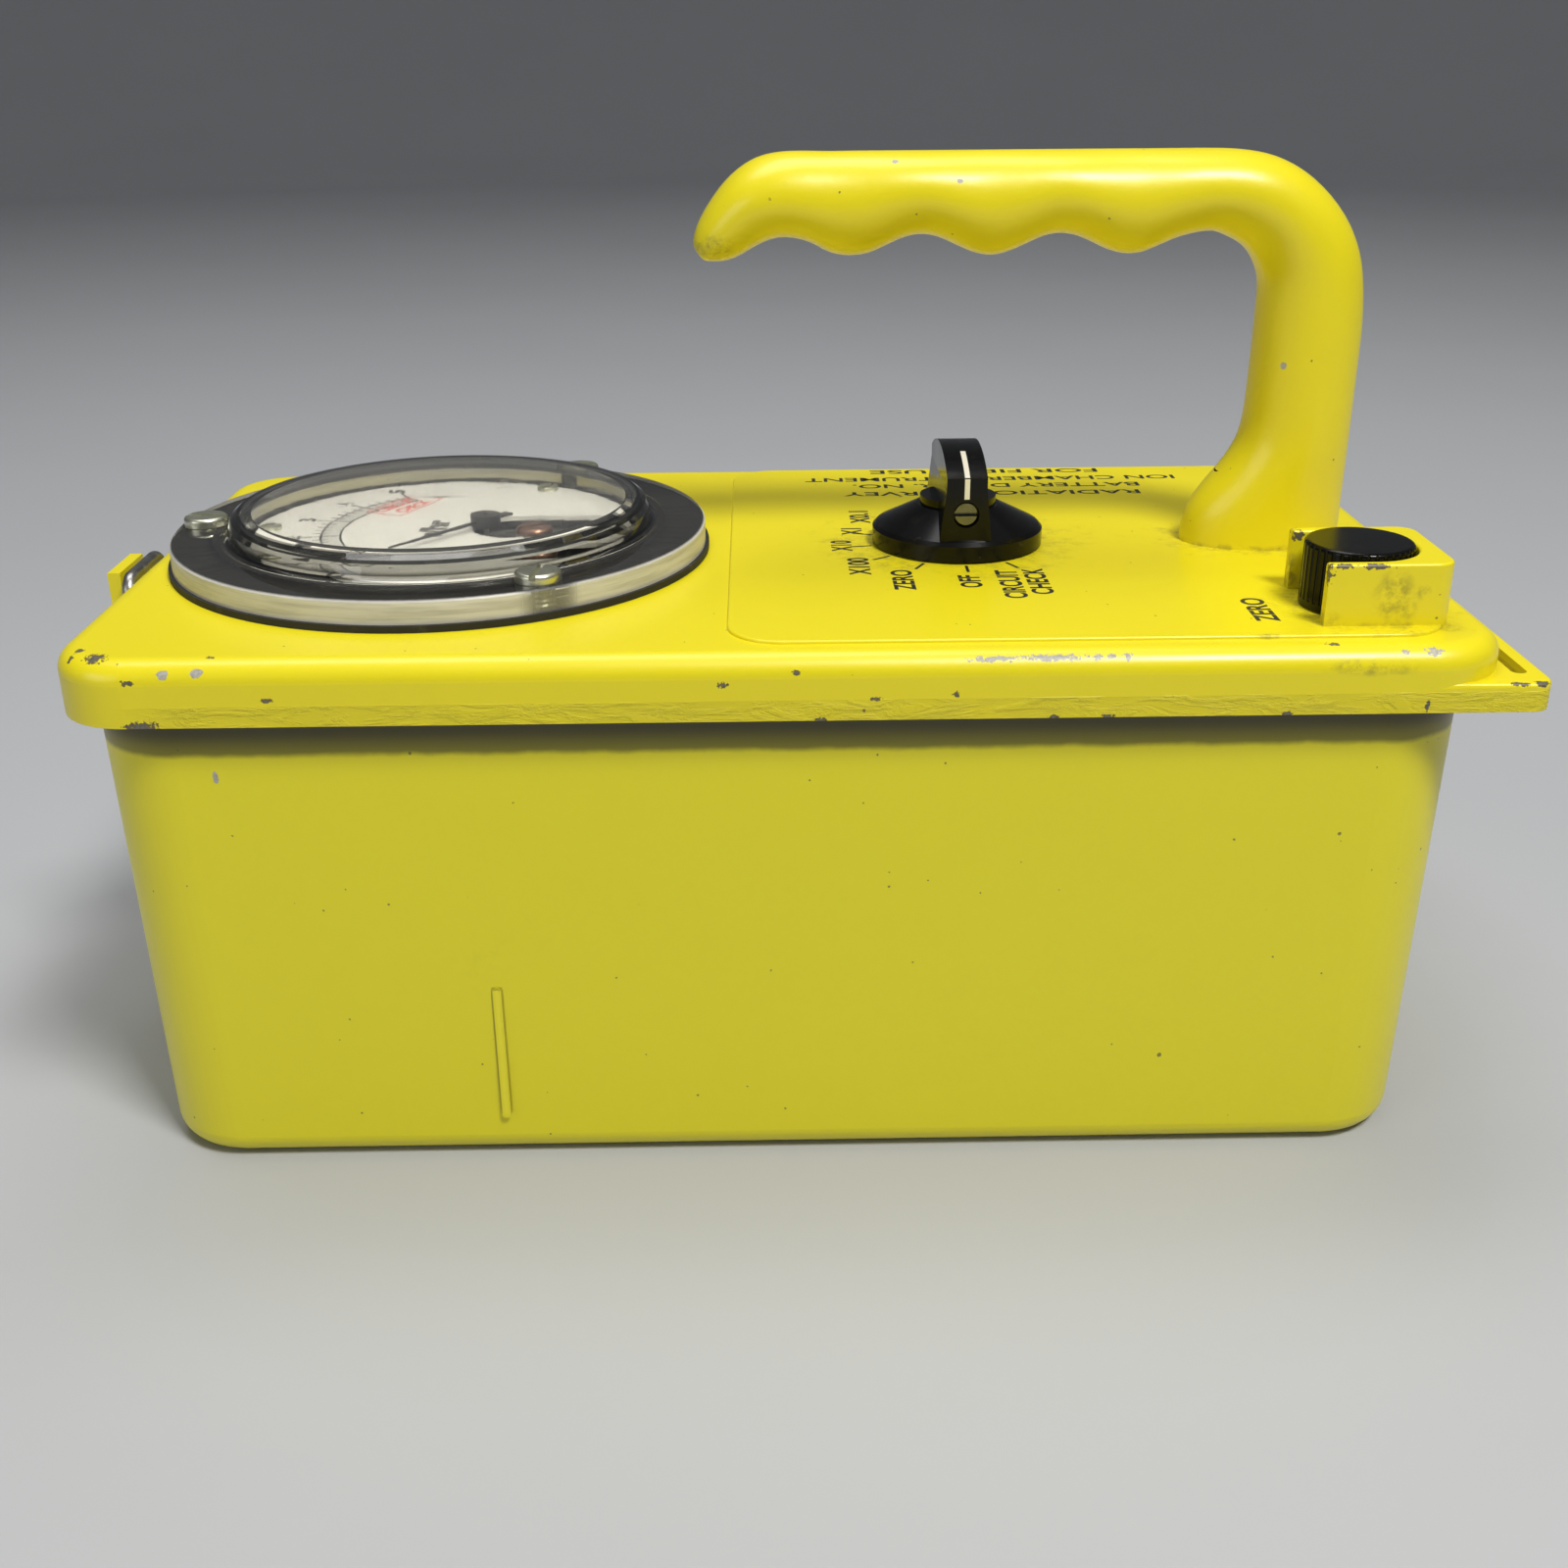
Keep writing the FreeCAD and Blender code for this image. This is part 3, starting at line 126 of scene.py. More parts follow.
# --- material helpers -------------------------------------------------------------
class Surface:
    """One procedural material. Each method adds nodes and returns a socket; sizes are in millimetres."""

    def __init__(self, name, **fixed):
        self.material = bpy.data.materials.new("look_" + name)
        self.material.use_nodes = True
        self.tree = self.material.node_tree
        self.shader = self.tree.nodes["Principled BSDF"]
        self.place = self.node("ShaderNodeTexCoord").outputs["Object"]
        for socket, value in fixed.items():
            self.shader.inputs[socket.replace("_", " ")].default_value = value

    def node(self, kind, **settings):
        made = self.tree.nodes.new(kind)
        for name, value in settings.items():
            setattr(made, name, value)
        return made

    def feed(self, socket, value):
        """Link a socket, or set a constant."""
        if isinstance(value, bpy.types.NodeSocket):
            self.tree.links.new(value, socket)
        else:
            socket.default_value = value

    def maths(self, operation, first, second=0.0, clamp=False):
        made = self.node("ShaderNodeMath", operation=operation, use_clamp=clamp)
        self.feed(made.inputs[0], first)
        self.feed(made.inputs[1], second)
        return made.outputs[0]

    def along(self, axis):
        """Place along one axis, in millimetres."""
        split = self.node("ShaderNodeSeparateXYZ")
        self.feed(split.inputs[0], self.place)
        return self.maths("MULTIPLY", split.outputs[axis], 1000.0)

    def radius(self, centre):
        """Distance from an upright axis, in millimetres."""
        x, y = (self.maths("SUBTRACT", self.along(axis), centre[n]) for n, axis in enumerate("XY"))
        return self.maths("SQRT", self.maths("ADD", self.times(x, x), self.times(y, y)))

    def step(self, value, low, high):
        """0 below low, 1 above high, smooth between; low above high turns it round."""
        made = self.node("ShaderNodeMapRange", interpolation_type="SMOOTHSTEP")
        swap = low > high
        self.feed(made.inputs["Value"], value)
        self.feed(made.inputs["From Min"], min(low, high))
        self.feed(made.inputs["From Max"], max(low, high))
        self.feed(made.inputs["To Min"], 1.0 if swap else 0.0)
        self.feed(made.inputs["To Max"], 0.0 if swap else 1.0)
        return made.outputs["Result"]

    def spread(self, value, low, high):
        """A 0 to 1 value spread over low to high."""
        return self.maths("ADD", self.maths("MULTIPLY", value, high - low), low)

    def stretched(self, factors):
        made = self.node("ShaderNodeVectorMath", operation="MULTIPLY")
        self.feed(made.inputs[0], self.place)
        made.inputs[1].default_value = factors
        return made.outputs[0]

    def noise(self, size, detail=2.0, rough=0.5, warp=0.0, stretch=(1, 1, 1)):
        made = self.node("ShaderNodeTexNoise")
        self.feed(made.inputs["Vector"], self.stretched(stretch))
        made.inputs["Scale"].default_value = 1000.0 / size
        made.inputs["Detail"].default_value = detail
        made.inputs["Roughness"].default_value = rough
        made.inputs["Distortion"].default_value = warp
        return made.outputs["Fac"]

    def specks(self, size, share, radius):
        """Small scattered dots: share of the cells hold one, with a radius as a share of a cell."""
        cells = self.node("ShaderNodeTexVoronoi")
        self.feed(cells.inputs["Vector"], self.place)
        cells.inputs["Scale"].default_value = 1000.0 / size
        split = self.node("ShaderNodeSeparateColor")
        self.feed(split.inputs[0], cells.outputs["Color"])
        chosen = self.step(split.outputs[0], 1.0 - share, 1.0 - share + 0.01)
        uneven = self.spread(self.noise(size / 4), -0.1, 0.1)
        ragged = self.maths("ADD", cells.outputs["Distance"], uneven)
        return self.maths("MULTIPLY", chosen, self.step(ragged, radius, radius * 0.7))

    def patches(self, spots, ragged, size, soft=0.06, limit=1.0):
        """1 inside any of the given ovals, shrunk to limit, with edges broken up by noise."""
        nearest = None
        for spot in spots:
            mapped = self.node("ShaderNodeMapping", vector_type="TEXTURE")
            self.feed(mapped.inputs["Vector"], self.place)
            mapped.inputs["Location"].default_value = [c * MM for c in spot[:3]]
            mapped.inputs["Scale"].default_value = [c * MM for c in spot[3:]]
            length = self.node("ShaderNodeVectorMath", operation="LENGTH")
            self.feed(length.inputs[0], mapped.outputs[0])
            reach = length.outputs["Value"]
            nearest = reach if nearest is None else self.maths("MINIMUM", nearest, reach)
        broken = self.spread(self.noise(size, 3.0, 0.6), -ragged, ragged)
        return self.step(self.maths("ADD", nearest, broken), limit + soft, limit - soft)

    def band(self, value, middle, half, soft):
        """1 where value is within half of middle."""
        off = self.maths("ABSOLUTE", self.maths("SUBTRACT", value, middle))
        return self.step(off, half + soft, half)

    def most(self, *values):
        result = values[0]
        for value in values[1:]:
            result = self.maths("MAXIMUM", result, value)
        return result

    def times(self, *values):
        result = values[0]
        for value in values[1:]:
            result = self.maths("MULTIPLY", result, value)
        return result

    def mix(self, amount, first, second):
        made = self.node("ShaderNodeMix", data_type="RGBA")
        self.feed(made.inputs[0], amount)
        for socket, value in ((made.inputs[6], first), (made.inputs[7], second)):
            self.feed(socket, (*value, 1.0) if isinstance(value, tuple) else value)
        return made.outputs[2]

    def bump(self, *layers):
        """Each layer is a height socket and its depth in millimetres."""
        normal = None
        for height, depth in layers:
            made = self.node("ShaderNodeBump")
            self.feed(made.inputs["Height"], height)
            made.inputs["Distance"].default_value = depth * MM
            if normal is not None:
                self.feed(made.inputs["Normal"], normal)
            normal = made.outputs["Normal"]
        self.feed(self.shader.inputs["Normal"], normal)

    def finish(self, colour, roughness, metallic=None):
        self.feed(self.shader.inputs["Base Color"], colour)
        self.feed(self.shader.inputs["Roughness"], roughness)
        if metallic is not None:
            self.feed(self.shader.inputs["Metallic"], metallic)
        return self.material


# --- materials ----------------------------------------------------------------------
def bead_marks(s, x, y, z, fine):
    """Dark lines along the edges of the bead, painted shade with some dirt, and a painted highlight
    along its crest.
    """
    front = s.step(y, -50.5, -51.0)
    aside = s.maths("ABSOLUTE", s.maths("SUBTRACT", x, BEAD_X))
    along = s.times(s.step(z, BEAD_Z[0], BEAD_Z[0] + 1), s.step(z, BEAD_Z[1], BEAD_Z[1] - 0.3))
    # painted shade with some dirt in the creases at the bead's sides and under its top end
    sides = s.times(s.band(aside, 0.80, 0.08, 0.14), along)
    cap = s.times(s.band(z, BEAD_Z[1], 0.15, 0.2), s.step(aside, 1.0, 0.7))
    edge_shade_and_dirt = s.times(front, s.most(sides, cap), s.spread(fine, 0.3, 0.8))
    # painted highlight along the middle of the bead
    crest_highlight = s.times(front, s.step(aside, 0.45, 0.15), along, 0.35)
    return edge_shade_and_dirt, crest_highlight


def dirt_mask(s):
    """Placed stains, with painted shade around the bases of the range knob, handle and zero knob's
    guard, and faint grime everywhere.
    """
    stains_and_shade = s.times(s.patches(STAINS_AND_BASE_SHADE, 1.2, 5, 0.6), s.step(s.noise(2.2, 4, 0.7), 0.36, 0.66))
    grime = s.times(s.step(s.noise(28, 4, 0.65), 0.60, 0.80), s.step(s.noise(1.6, 3, 0.7), 0.42, 0.7))
    return s.most(s.maths("MULTIPLY", stains_and_shade, 0.5), s.maths("MULTIPLY", grime, 0.08))


def seam_bands(s, x, z, pan, colour):
    """Darken the cover's cracked lower band, and, as painted shadow with some dirt, a sharp-edged band
    on the pan just below it.
    """
    skirt = s.times(s.band(z, SKIRT + 1.5, 1.6, 0.15), s.step(x, -98, -84))
    shade = s.spread(s.noise(3, 4, 0.7, 0.3, (0.35, 1, 1)), 0.0, 0.6)
    colour = s.mix(s.times(skirt, shade), colour, (0.52, 0.44, 0.012))
    # painted shadow with some dirt: the pan darkened in a band just under the cover's skirt, with a
    # sharp lower edge
    shadow_below_skirt = s.spread(s.step(z, SKIRT - 5.6, SKIRT - 1.8), 0.70, 0.97)
    shadow_lower_edge = s.step(s.maths("ADD", z, s.noise(5, 3)), SKIRT - 5.8, SKIRT - 4.6)
    return skirt, s.mix(s.times(pan, shadow_below_skirt, shadow_lower_edge), colour, (0.040, 0.034, 0.003))


def worn_through(s, colour):
    """Chips with a brown rim and dark metal inside, and spots rubbed or knocked bright."""
    rim = s.patches(CHIPS, 1.8, 0.6)
    bare = s.patches(CHIPS, 1.8, 0.6, limit=0.70)
    rubbed = s.most(s.patches(RUBS, 2.0, 0.5), s.patches(KNOCKS, 0.7, 0.9))
    dark_metal = s.mix(s.noise(0.6, 3), (0.045, 0.038, 0.022), (0.26, 0.24, 0.19))
    bright_metal = s.mix(s.noise(0.4, 2), (0.16, 0.15, 0.11), (0.62, 0.60, 0.54))
    colour = s.mix(rim, colour, (0.15, 0.11, 0.02))
    colour = s.mix(bare, colour, dark_metal)
    return rim, bare, rubbed, s.mix(rubbed, colour, bright_metal)


def yellow_paint():
    """Satin enamel over cast aluminium, chipped at corners and dirty where hands are, with painted
    shadow under the cover's skirt, painted shade beside the bead and around bases on the pad, and a
    painted highlight on the bead's crest.
    """
    s = Surface("yellow_paint", Coat_Weight=0.1, Coat_Roughness=0.16)
    x, y, z = (s.along(axis) for axis in "XYZ")
    broad, fine = s.noise(70, 3), s.noise(6, 4)
    colour = s.mix(broad, (0.80, 0.685, 0.008), (0.85, 0.725, 0.012))
    pan = s.step(z, SKIRT + 0.05, SKIRT - 0.05)
    colour = s.mix(s.maths("MULTIPLY", pan, 0.7), colour, (0.76, 0.70, 0.012))
    colour = s.mix(s.maths("MULTIPLY", fine, 0.12), colour, (0.66, 0.58, 0.012))
    skirt, colour = seam_bands(s, x, z, pan, colour)
    edge_shade_and_dirt, crest_highlight = bead_marks(s, x, y, z, fine)
    # painted shade with some dirt beside the bead, then a painted highlight along its crest
    colour = s.mix(edge_shade_and_dirt, colour, (0.20, 0.17, 0.01))
    colour = s.mix(crest_highlight, colour, (0.90, 0.80, 0.05))
    dirt_and_shade = dirt_mask(s)
    # stains and grime, with painted shade on the pad around the bases of the range knob, handle and zero
    # knob's guard
    colour = s.mix(dirt_and_shade, colour, (0.11, 0.085, 0.03))
    specks = s.most(s.specks(2.0, 0.08, 0.10), s.specks(6, 0.12, 0.05))
    colour = s.mix(s.maths("MULTIPLY", specks, 0.8), colour, (0.10, 0.08, 0.03))
    rim, bare, rubbed, colour = worn_through(s, colour)

    roughness = s.maths("ADD", s.spread(s.noise(22, 4), 0.28, 0.42), s.maths("MULTIPLY", dirt_and_shade, 0.4))
    worn = s.maths("MULTIPLY", s.most(skirt, rim, rubbed), 0.18)
    roughness = s.maths("ADD", roughness, worn, clamp=True)
    cracks = s.times(skirt, s.step(s.noise(2.4, 5, 0.75, 0.6, (0.3, 1, 1)), 0.42, 0.62))
    s.bump((s.noise(1.1, 2), 0.015), (s.noise(9, 2), 0.045), (cracks, 0.12))
    return s.finish(colour, roughness, s.maths("MULTIPLY", bare, 0.3))


def moulding(name, dark, light, rough, grain=0.6, depth=0.01, **fixed):
    """Moulded plastic, rubber, laminate or fibre: two close tones, fine grain and a little dust."""
    s = Surface(name, **fixed)
    colour = s.mix(s.noise(14, 4), dark, light)
    dust = s.maths("MULTIPLY", s.step(s.noise(2.6, 4, 0.7), 0.58, 0.8), 0.12)
    colour = s.mix(dust, colour, (0.30, 0.27, 0.22))
    wear = s.noise(7, 4, 0.6)
    s.bump((s.noise(grain, 3), depth))
    return s.finish(colour, s.spread(wear, *rough))


def metal(name, bright, dull, rough, scratch=(1, 1, 1), amount=0.25):
    """Plain or plated metal with dull patches, tarnish and directional scratches."""
    s = Surface(name)
    colour = s.mix(s.noise(5, 4), bright, dull)
    stain = s.step(s.noise(1.7, 5, 0.7), 0.50, 0.78)
    colour = s.mix(s.maths("MULTIPLY", stain, amount), colour, (0.12, 0.11, 0.07))
    lines = s.noise(0.25, 3, 0.6, 0.0, scratch)
    dulled = s.maths("MULTIPLY", stain, amount * 0.5)
    roughness = s.maths("ADD", s.spread(s.noise(3, 4), *rough), dulled)
    s.bump((lines, 0.006), (s.noise(2, 3), 0.01))
    return s.finish(colour, roughness, s.spread(stain, 1.0, 1.0 - amount))


def plated_steel():
    """Green-grey cadmium plate; the shanks below the heads carry a thread."""
    s = Surface("plated_steel")
    colour = s.mix(s.noise(2.2, 4), (0.82, 0.82, 0.67), (0.56, 0.57, 0.43))
    stain = s.step(s.noise(0.9, 5, 0.7), 0.50, 0.78)
    colour = s.mix(s.maths("MULTIPLY", stain, 0.5), colour, (0.12, 0.12, 0.07))
    thread_pitch = 0.79
    turn = s.maths("SINE", s.maths("MULTIPLY", s.along("Z"), 2 * math.pi / thread_pitch))
    below = s.step(s.along("Z"), FLANGE_TOP + 0.1, FLANGE_TOP - 0.2)
    s.bump((s.maths("MULTIPLY", turn, below), 0.16), (s.noise(0.5, 3), 0.02))
    return s.finish(colour, s.spread(s.noise(1.5, 4), 0.22, 0.46), s.spread(stain, 0.95, 0.7))


def clear_acrylic():
    """Clear plastic, its thick wall tinted dark in streaks as painted shade for the dim surroundings
    seen through it, hazy at its rim and scuffed by handling.
    """
    s = Surface("clear_acrylic", IOR=1.49)
    z, radius = s.along("Z"), s.radius(METER)
    colour = s.mix(s.noise(16, 3), (0.97, 0.965, 0.94), (0.94, 0.935, 0.90))

    # scuffs, fainter on the crown
    low = s.step(z, FLANGE_TOP + 3.6, FLANGE_TOP + 3.0)
    broken = s.step(s.noise(0.8, 4, 0.7), 0.45, 0.7)
    scuffs = s.times(s.step(s.noise(11, 4, 0.65), 0.50, 0.72), broken, s.spread(low, 0.3, 1.0))
    colour = s.mix(s.maths("MULTIPLY", scuffs, 0.10), colour, (0.72, 0.70, 0.62))

    # the wall of the dome, darkened in streaks as painted shade for the dim surroundings seen through it
    streaks = s.noise(0.9, 3, 0.6, 0.0, (0.06, 0.06, 1))
    above = s.step(z, FLANGE_TOP + 0.15, FLANGE_TOP + 0.3)
    wall = s.times(s.band(radius, DOME_WALL, 1.6, 0.3), above)
    painted_wall_shade = s.mix(s.step(streaks, 0.35, 0.65), (0.004, 0.004, 0.002), (0.038, 0.035, 0.022))
    colour = s.mix(s.times(wall, 0.92), colour, painted_wall_shade)

    # the rim of the flange, clear in front of its nearest screw
    from_screw = s.spread(s.step(s.radius(FRONT_SCREW), 4.6, 7.0), 0.25, 1.0)
    rim = s.times(s.step(radius, FLANGE - 0.45, FLANGE - 0.1), from_screw)
    haze = s.mix(s.step(streaks, 0.35, 0.7), (0.92, 0.90, 0.80), (0.60, 0.58, 0.49))
    colour = s.mix(s.maths("MULTIPLY", rim, 0.85), colour, haze)

    through = s.maths("SUBTRACT", s.spread(rim, 0.985, 0.35), s.maths("MULTIPLY", scuffs, 0.03))
    s.feed(s.shader.inputs["Transmission Weight"], through)
    rough = s.most(s.maths("MULTIPLY", scuffs, 0.20), s.maths("MULTIPLY", rim, 0.35))
    s.bump((s.noise(0.5, 3), 0.001), (s.noise(9, 2), 0.012))
    material = s.finish(colour, s.maths("ADD", rough, 0.006))
    let_light_through(s, (0.86, 0.85, 0.79, 1.0))
    return material


def let_light_through(s, tint):
    """Plain tinted transparency for shadow rays, so that lamp light reaches what is inside."""
    clear = s.node("ShaderNodeBsdfTransparent")
    clear.inputs["Color"].default_value = tint
    either = s.node("ShaderNodeMixShader")
    s.feed(either.inputs[0], s.node("ShaderNodeLightPath").outputs["Is Shadow Ray"])
    s.feed(either.inputs[1], s.shader.outputs[0])
    s.feed(either.inputs[2], clear.outputs[0])
    s.feed(s.tree.nodes["Material Output"].inputs["Surface"], either.outputs[0])


def printed(name, dark, light, gaps=0.25):
    """Screen-printed ink, thin in places."""
    s = Surface(name)
    thin = s.step(s.noise(0.6, 4, 0.7), 0.62, 0.8)
    colour = s.mix(s.noise(4, 3), dark, light)
    colour = s.mix(s.maths("MULTIPLY", thin, gaps), colour, (0.35, 0.30, 0.08))
    s.bump((s.noise(0.3, 2), 0.005))
    return s.finish(colour, s.spread(s.noise(2, 3), 0.40, 0.6))


def dial_card():
    """Off-white enamelled dial, faintly yellowed and dusty."""
    s = Surface("dial_white")
    colour = s.mix(s.noise(20, 3), (0.63, 0.625, 0.60), (0.57, 0.565, 0.535))
    foxing = s.maths("MULTIPLY", s.specks(3.5, 0.12, 0.06), 0.5)
    colour = s.mix(foxing, colour, (0.25, 0.22, 0.15))
    s.bump((s.noise(0.4, 2), 0.004))
    return s.finish(colour, s.spread(s.noise(6, 3), 0.38, 0.55))


def make_materials():
    """A material for every slot of the record, and a darker steel for the knob's set screw, by name."""
    black, grey = (0.008, 0.008, 0.009), (0.018, 0.018, 0.019)
    made = [
        yellow_paint(), clear_acrylic(), plated_steel(), dial_card(),
        moulding("black_rubber", black, (0.016, 0.015, 0.014), (0.55, 0.78), 0.5, 0.02),
        moulding("black_phenolic", (0.002, 0.002, 0.002), (0.005, 0.005, 0.005), (0.12, 0.24), 4.0,
                 0.012, Specular_IOR_Level=0.22),
        moulding("needle_black", black, grey, (0.30, 0.5), 0.5, 0.004),
        moulding("switch_laminate", (0.10, 0.05, 0.025), (0.17, 0.09, 0.04), (0.4, 0.6), 0.8, 0.02),
        moulding("circuit_board", (0.16, 0.11, 0.04), (0.22, 0.15, 0.06), (0.35, 0.55), 0.5, 0.015),
        moulding("insulator_white", (0.70, 0.68, 0.62), (0.78, 0.77, 0.72), (0.3, 0.5), 0.7, 0.01),
        moulding("transformer_iron", (0.05, 0.035, 0.025), (0.10, 0.07, 0.05), (0.45, 0.7), 0.8, 0.04),
        moulding("resistor_body", (0.13, 0.07, 0.04), (0.20, 0.11, 0.06), (0.35, 0.55), 0.5, 0.01),
        moulding("capacitor_body", (0.28, 0.10, 0.03), (0.36, 0.14, 0.04), (0.18, 0.35), 2.0, 0.01),
        moulding("cell_jacket", (0.02, 0.05, 0.14), (0.03, 0.07, 0.19), (0.25, 0.45), 3.0, 0.02),
        moulding("tube_glass", (0.30, 0.33, 0.32), (0.42, 0.45, 0.44), (0.04, 0.12), 4.0, 0.01),
        metal("nickel_brass", (0.60, 0.55, 0.42), (0.42, 0.37, 0.26), (0.20, 0.42)),
        metal("magnet_iron", (0.16, 0.15, 0.15), (0.09, 0.085, 0.08), (0.35, 0.6)),
        metal("copper", (0.42, 0.24, 0.17), (0.30, 0.17, 0.12), (0.25, 0.48), (1, 0.2, 1)),
        metal("bare_aluminium", (0.62, 0.62, 0.62), (0.48, 0.48, 0.47), (0.30, 0.5), (1, 0.15, 1)),
        metal("spring_bronze", (0.55, 0.36, 0.16), (0.42, 0.27, 0.12), (0.25, 0.4)),
        metal("control_can", (0.50, 0.50, 0.47), (0.36, 0.36, 0.33), (0.28, 0.45), (1, 1, 0.2)),
        metal("latch_steel", (0.50, 0.50, 0.48), (0.32, 0.31, 0.29), (0.24, 0.46), (1, 1, 0.15), 0.4),
        metal("set_screw", (0.26, 0.26, 0.24), (0.16, 0.16, 0.15), (0.2, 0.4)),
    ]
    return {material.name.removeprefix("look_"): material for material in made}


def paint_nodes(materials):
    """Put each slot's material in place of the plain one of the same name."""
    for node in NODES.values():
        for place, plain in enumerate(node.data.materials):
            node.data.materials[place] = materials[plain.name]
    NODES["range_set_screw"].data.materials[0] = materials["set_screw"]


# --- printed marks --------------------------------------------------------------------
def add_piece(name, mesh, material, body):
    """New visible piece that moves with a body and belongs to a material slot."""
    mesh.materials.clear()
    mesh.materials.append(material)
    piece = bpy.data.objects.new(name, mesh)
    bpy.context.scene.collection.objects.link(piece)
    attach(piece, body)
    return piece


def word_mesh(words, length, height, middle, turn, surface, weight=0.012):
    """Raised lettering of the given overall length and height, lying on a level surface."""
    curve = bpy.data.curves.new("word", "FONT")
    curve.body = words
    curve.offset = weight
    curve.extrude = 0.5
    carrier = bpy.data.objects.new("word", curve)
    bpy.context.scene.collection.objects.link(carrier)
    bpy.context.view_layer.update()
    drawn = carrier.evaluated_get(bpy.context.evaluated_depsgraph_get())
    mesh = bpy.data.meshes.new_from_object(drawn)
    bpy.data.objects.remove(carrier)
    bpy.data.curves.remove(curve)
    lo = [min(v.co[i] for v in mesh.vertices) for i in range(2)]
    hi = [max(v.co[i] for v in mesh.vertices) for i in range(2)]
    centre = Matrix.Translation((-(lo[0] + hi[0]) / 2, -(lo[1] + hi[1]) / 2, 0))
    size = Matrix.Diagonal((length / (hi[0] - lo[0]), height / (hi[1] - lo[1]), INK, 1))
    there = Matrix.Translation((middle[0], middle[1], surface + INK / 4))
    turned = Matrix.Rotation(math.radians(turn), 4, "Z")
    mesh.transform(Matrix.Scale(MM, 4) @ there @ turned @ size @ centre)
    return mesh


def prism(bm, outline, surface):
    """Thin closed plate on a level surface, from an outline in millimetres."""
    low, high = surface - INK / 4, surface + INK * 3 / 4
    rings = [[bm.verts.new((x * MM, y * MM, z * MM)) for x, y in outline] for z in (low, high)]
    bm.faces.new(list(reversed(rings[0])))
    bm.faces.new(rings[1])
    for n in range(len(outline)):
        m = (n + 1) % len(outline)
        bm.faces.new((rings[0][n], rings[0][m], rings[1][m], rings[1][n]))


def around(centre, radius, angle):
    """Place at a radius and an angle in degrees about a centre."""
    turn = math.radians(angle)
    return Vector((centre[0] + radius * math.cos(turn), centre[1] + radius * math.sin(turn)))


def spoke(bm, centre, inner, outer, angle, width, surface):
    """Straight radial mark."""
    near, far = around(centre, inner, angle), around(centre, outer, angle)
    side = around((0, 0), width / 2, angle + 90)
    prism(bm, [near - side, far - side, far + side, near + side], surface)


def arc(bm, centre, inner, outer, first, last, surface):
    """Band between two radii."""
    steps = 60
    turns = [first + (last - first) * n / steps for n in range(steps + 1)]
    rims = [[around(centre, radius, turn) for turn in turns] for radius in (inner, outer)]
    prism(bm, rims[0] + rims[1][::-1], surface)


def joined(bm, meshes):
    """One mesh of what bm holds and the given meshes; both are used up."""
    for mesh in meshes:
        bm.from_mesh(mesh)
        bpy.data.meshes.remove(mesh)
    result = bpy.data.meshes.new("marks")
    bmesh.ops.recalc_face_normals(bm, faces=bm.faces)
    bm.to_mesh(result)
    bm.free()
    return result


def print_panel(ink):
    """Words and marks on the raised pad."""
    mark_start, mark_end, mark_width, row_height = 14.9, 18.5, 0.5, 2.9
    bm = bmesh.new()
    for place in RANGE_POSITIONS:
        angle = -90 - RANGE_STEP * place
        spoke(bm, RANGE_AXIS, mark_start, mark_end, angle, mark_width, PAD_TOP)
    words = []
    for text, length, height, middle in RANGE_WORDS:
        words.append(word_mesh(text, length, height, middle, 90, PAD_TOP, 0.024))
    for text, length, middle in PLATE_ROWS:
        words.append(word_mesh(text, length, row_height, middle, 180, PAD_TOP))
    add_piece("panel_lettering", joined(bm, words), ink, "housing")


def print_scale(ink, dial, last):
    """Arcs, long marks at the units, short ones at the fifths, numbers and unit."""
    outer, inner = SCALE_RADII
    half_line, long_end, short_start, short_end = 0.18, 30.6, outer - 1.2, 28.8
    bm = bmesh.new()
    for radius in SCALE_RADII:
        arc(bm, PIVOT, radius - half_line, radius + half_line, SCALE_START, last, dial)
    for tenth in range(SCALE_UNITS * 10 + 1):
        angle = SCALE_START + DEGREES_PER_UNIT * tenth / 10
        if tenth % 10 == 0:
            spoke(bm, PIVOT, inner, long_end, angle, 0.42, dial)
        elif tenth % 2 == 0:
            spoke(bm, PIVOT, short_start, short_end, angle, 0.28, dial)
    words = []
    for unit in range(SCALE_UNITS + 1):
        middle = around(PIVOT, NUMBER_RADIUS, SCALE_START + DEGREES_PER_UNIT * unit)
        if math.dist(middle, METER) < DIAL_IN_SIGHT:
            words.append(word_mesh(str(unit), 2.2, 3.0, middle, 90, dial, 0.035))
    words.append(word_mesh("r/hr", 11.0, 4.6, (-58.3, -0.4), 90, dial, 0.045))
    add_piece("dial_print", joined(bm, words), ink, "housing")


def print_check_box(red, dial):
    """Two red words in a thin box, slanted across the end of the scale."""
    turn, middle = 66, Vector((-66.1, 15.5))
    along, across, line = 6.55, 3.6, 0.3
    bars = []
    for side in (-1, 1):
        bars.append((0, side * across, 2 * along + line, line))
        bars.append((side * along, 0, line, 2 * across + line))
    square = ((-1, -1), (1, -1), (1, 1), (-1, 1))
    turned = Matrix.Rotation(math.radians(turn), 2)
    bm = bmesh.new()
    for x, y, length, width in bars:
        corners = [Vector((x + u * length / 2, y + v * width / 2)) for u, v in square]
        prism(bm, [middle + turned @ corner for corner in corners], dial)
    words = [word_mesh("CIRCUIT", 11.0, 2.5, (-67.6, 16.2), turn, dial, 0.03),
             word_mesh("CHECK", 9.0, 2.5, (-64.5, 14.9), turn, dial, 0.03)]
    add_piece("dial_red_print", joined(bm, words), red, "housing")


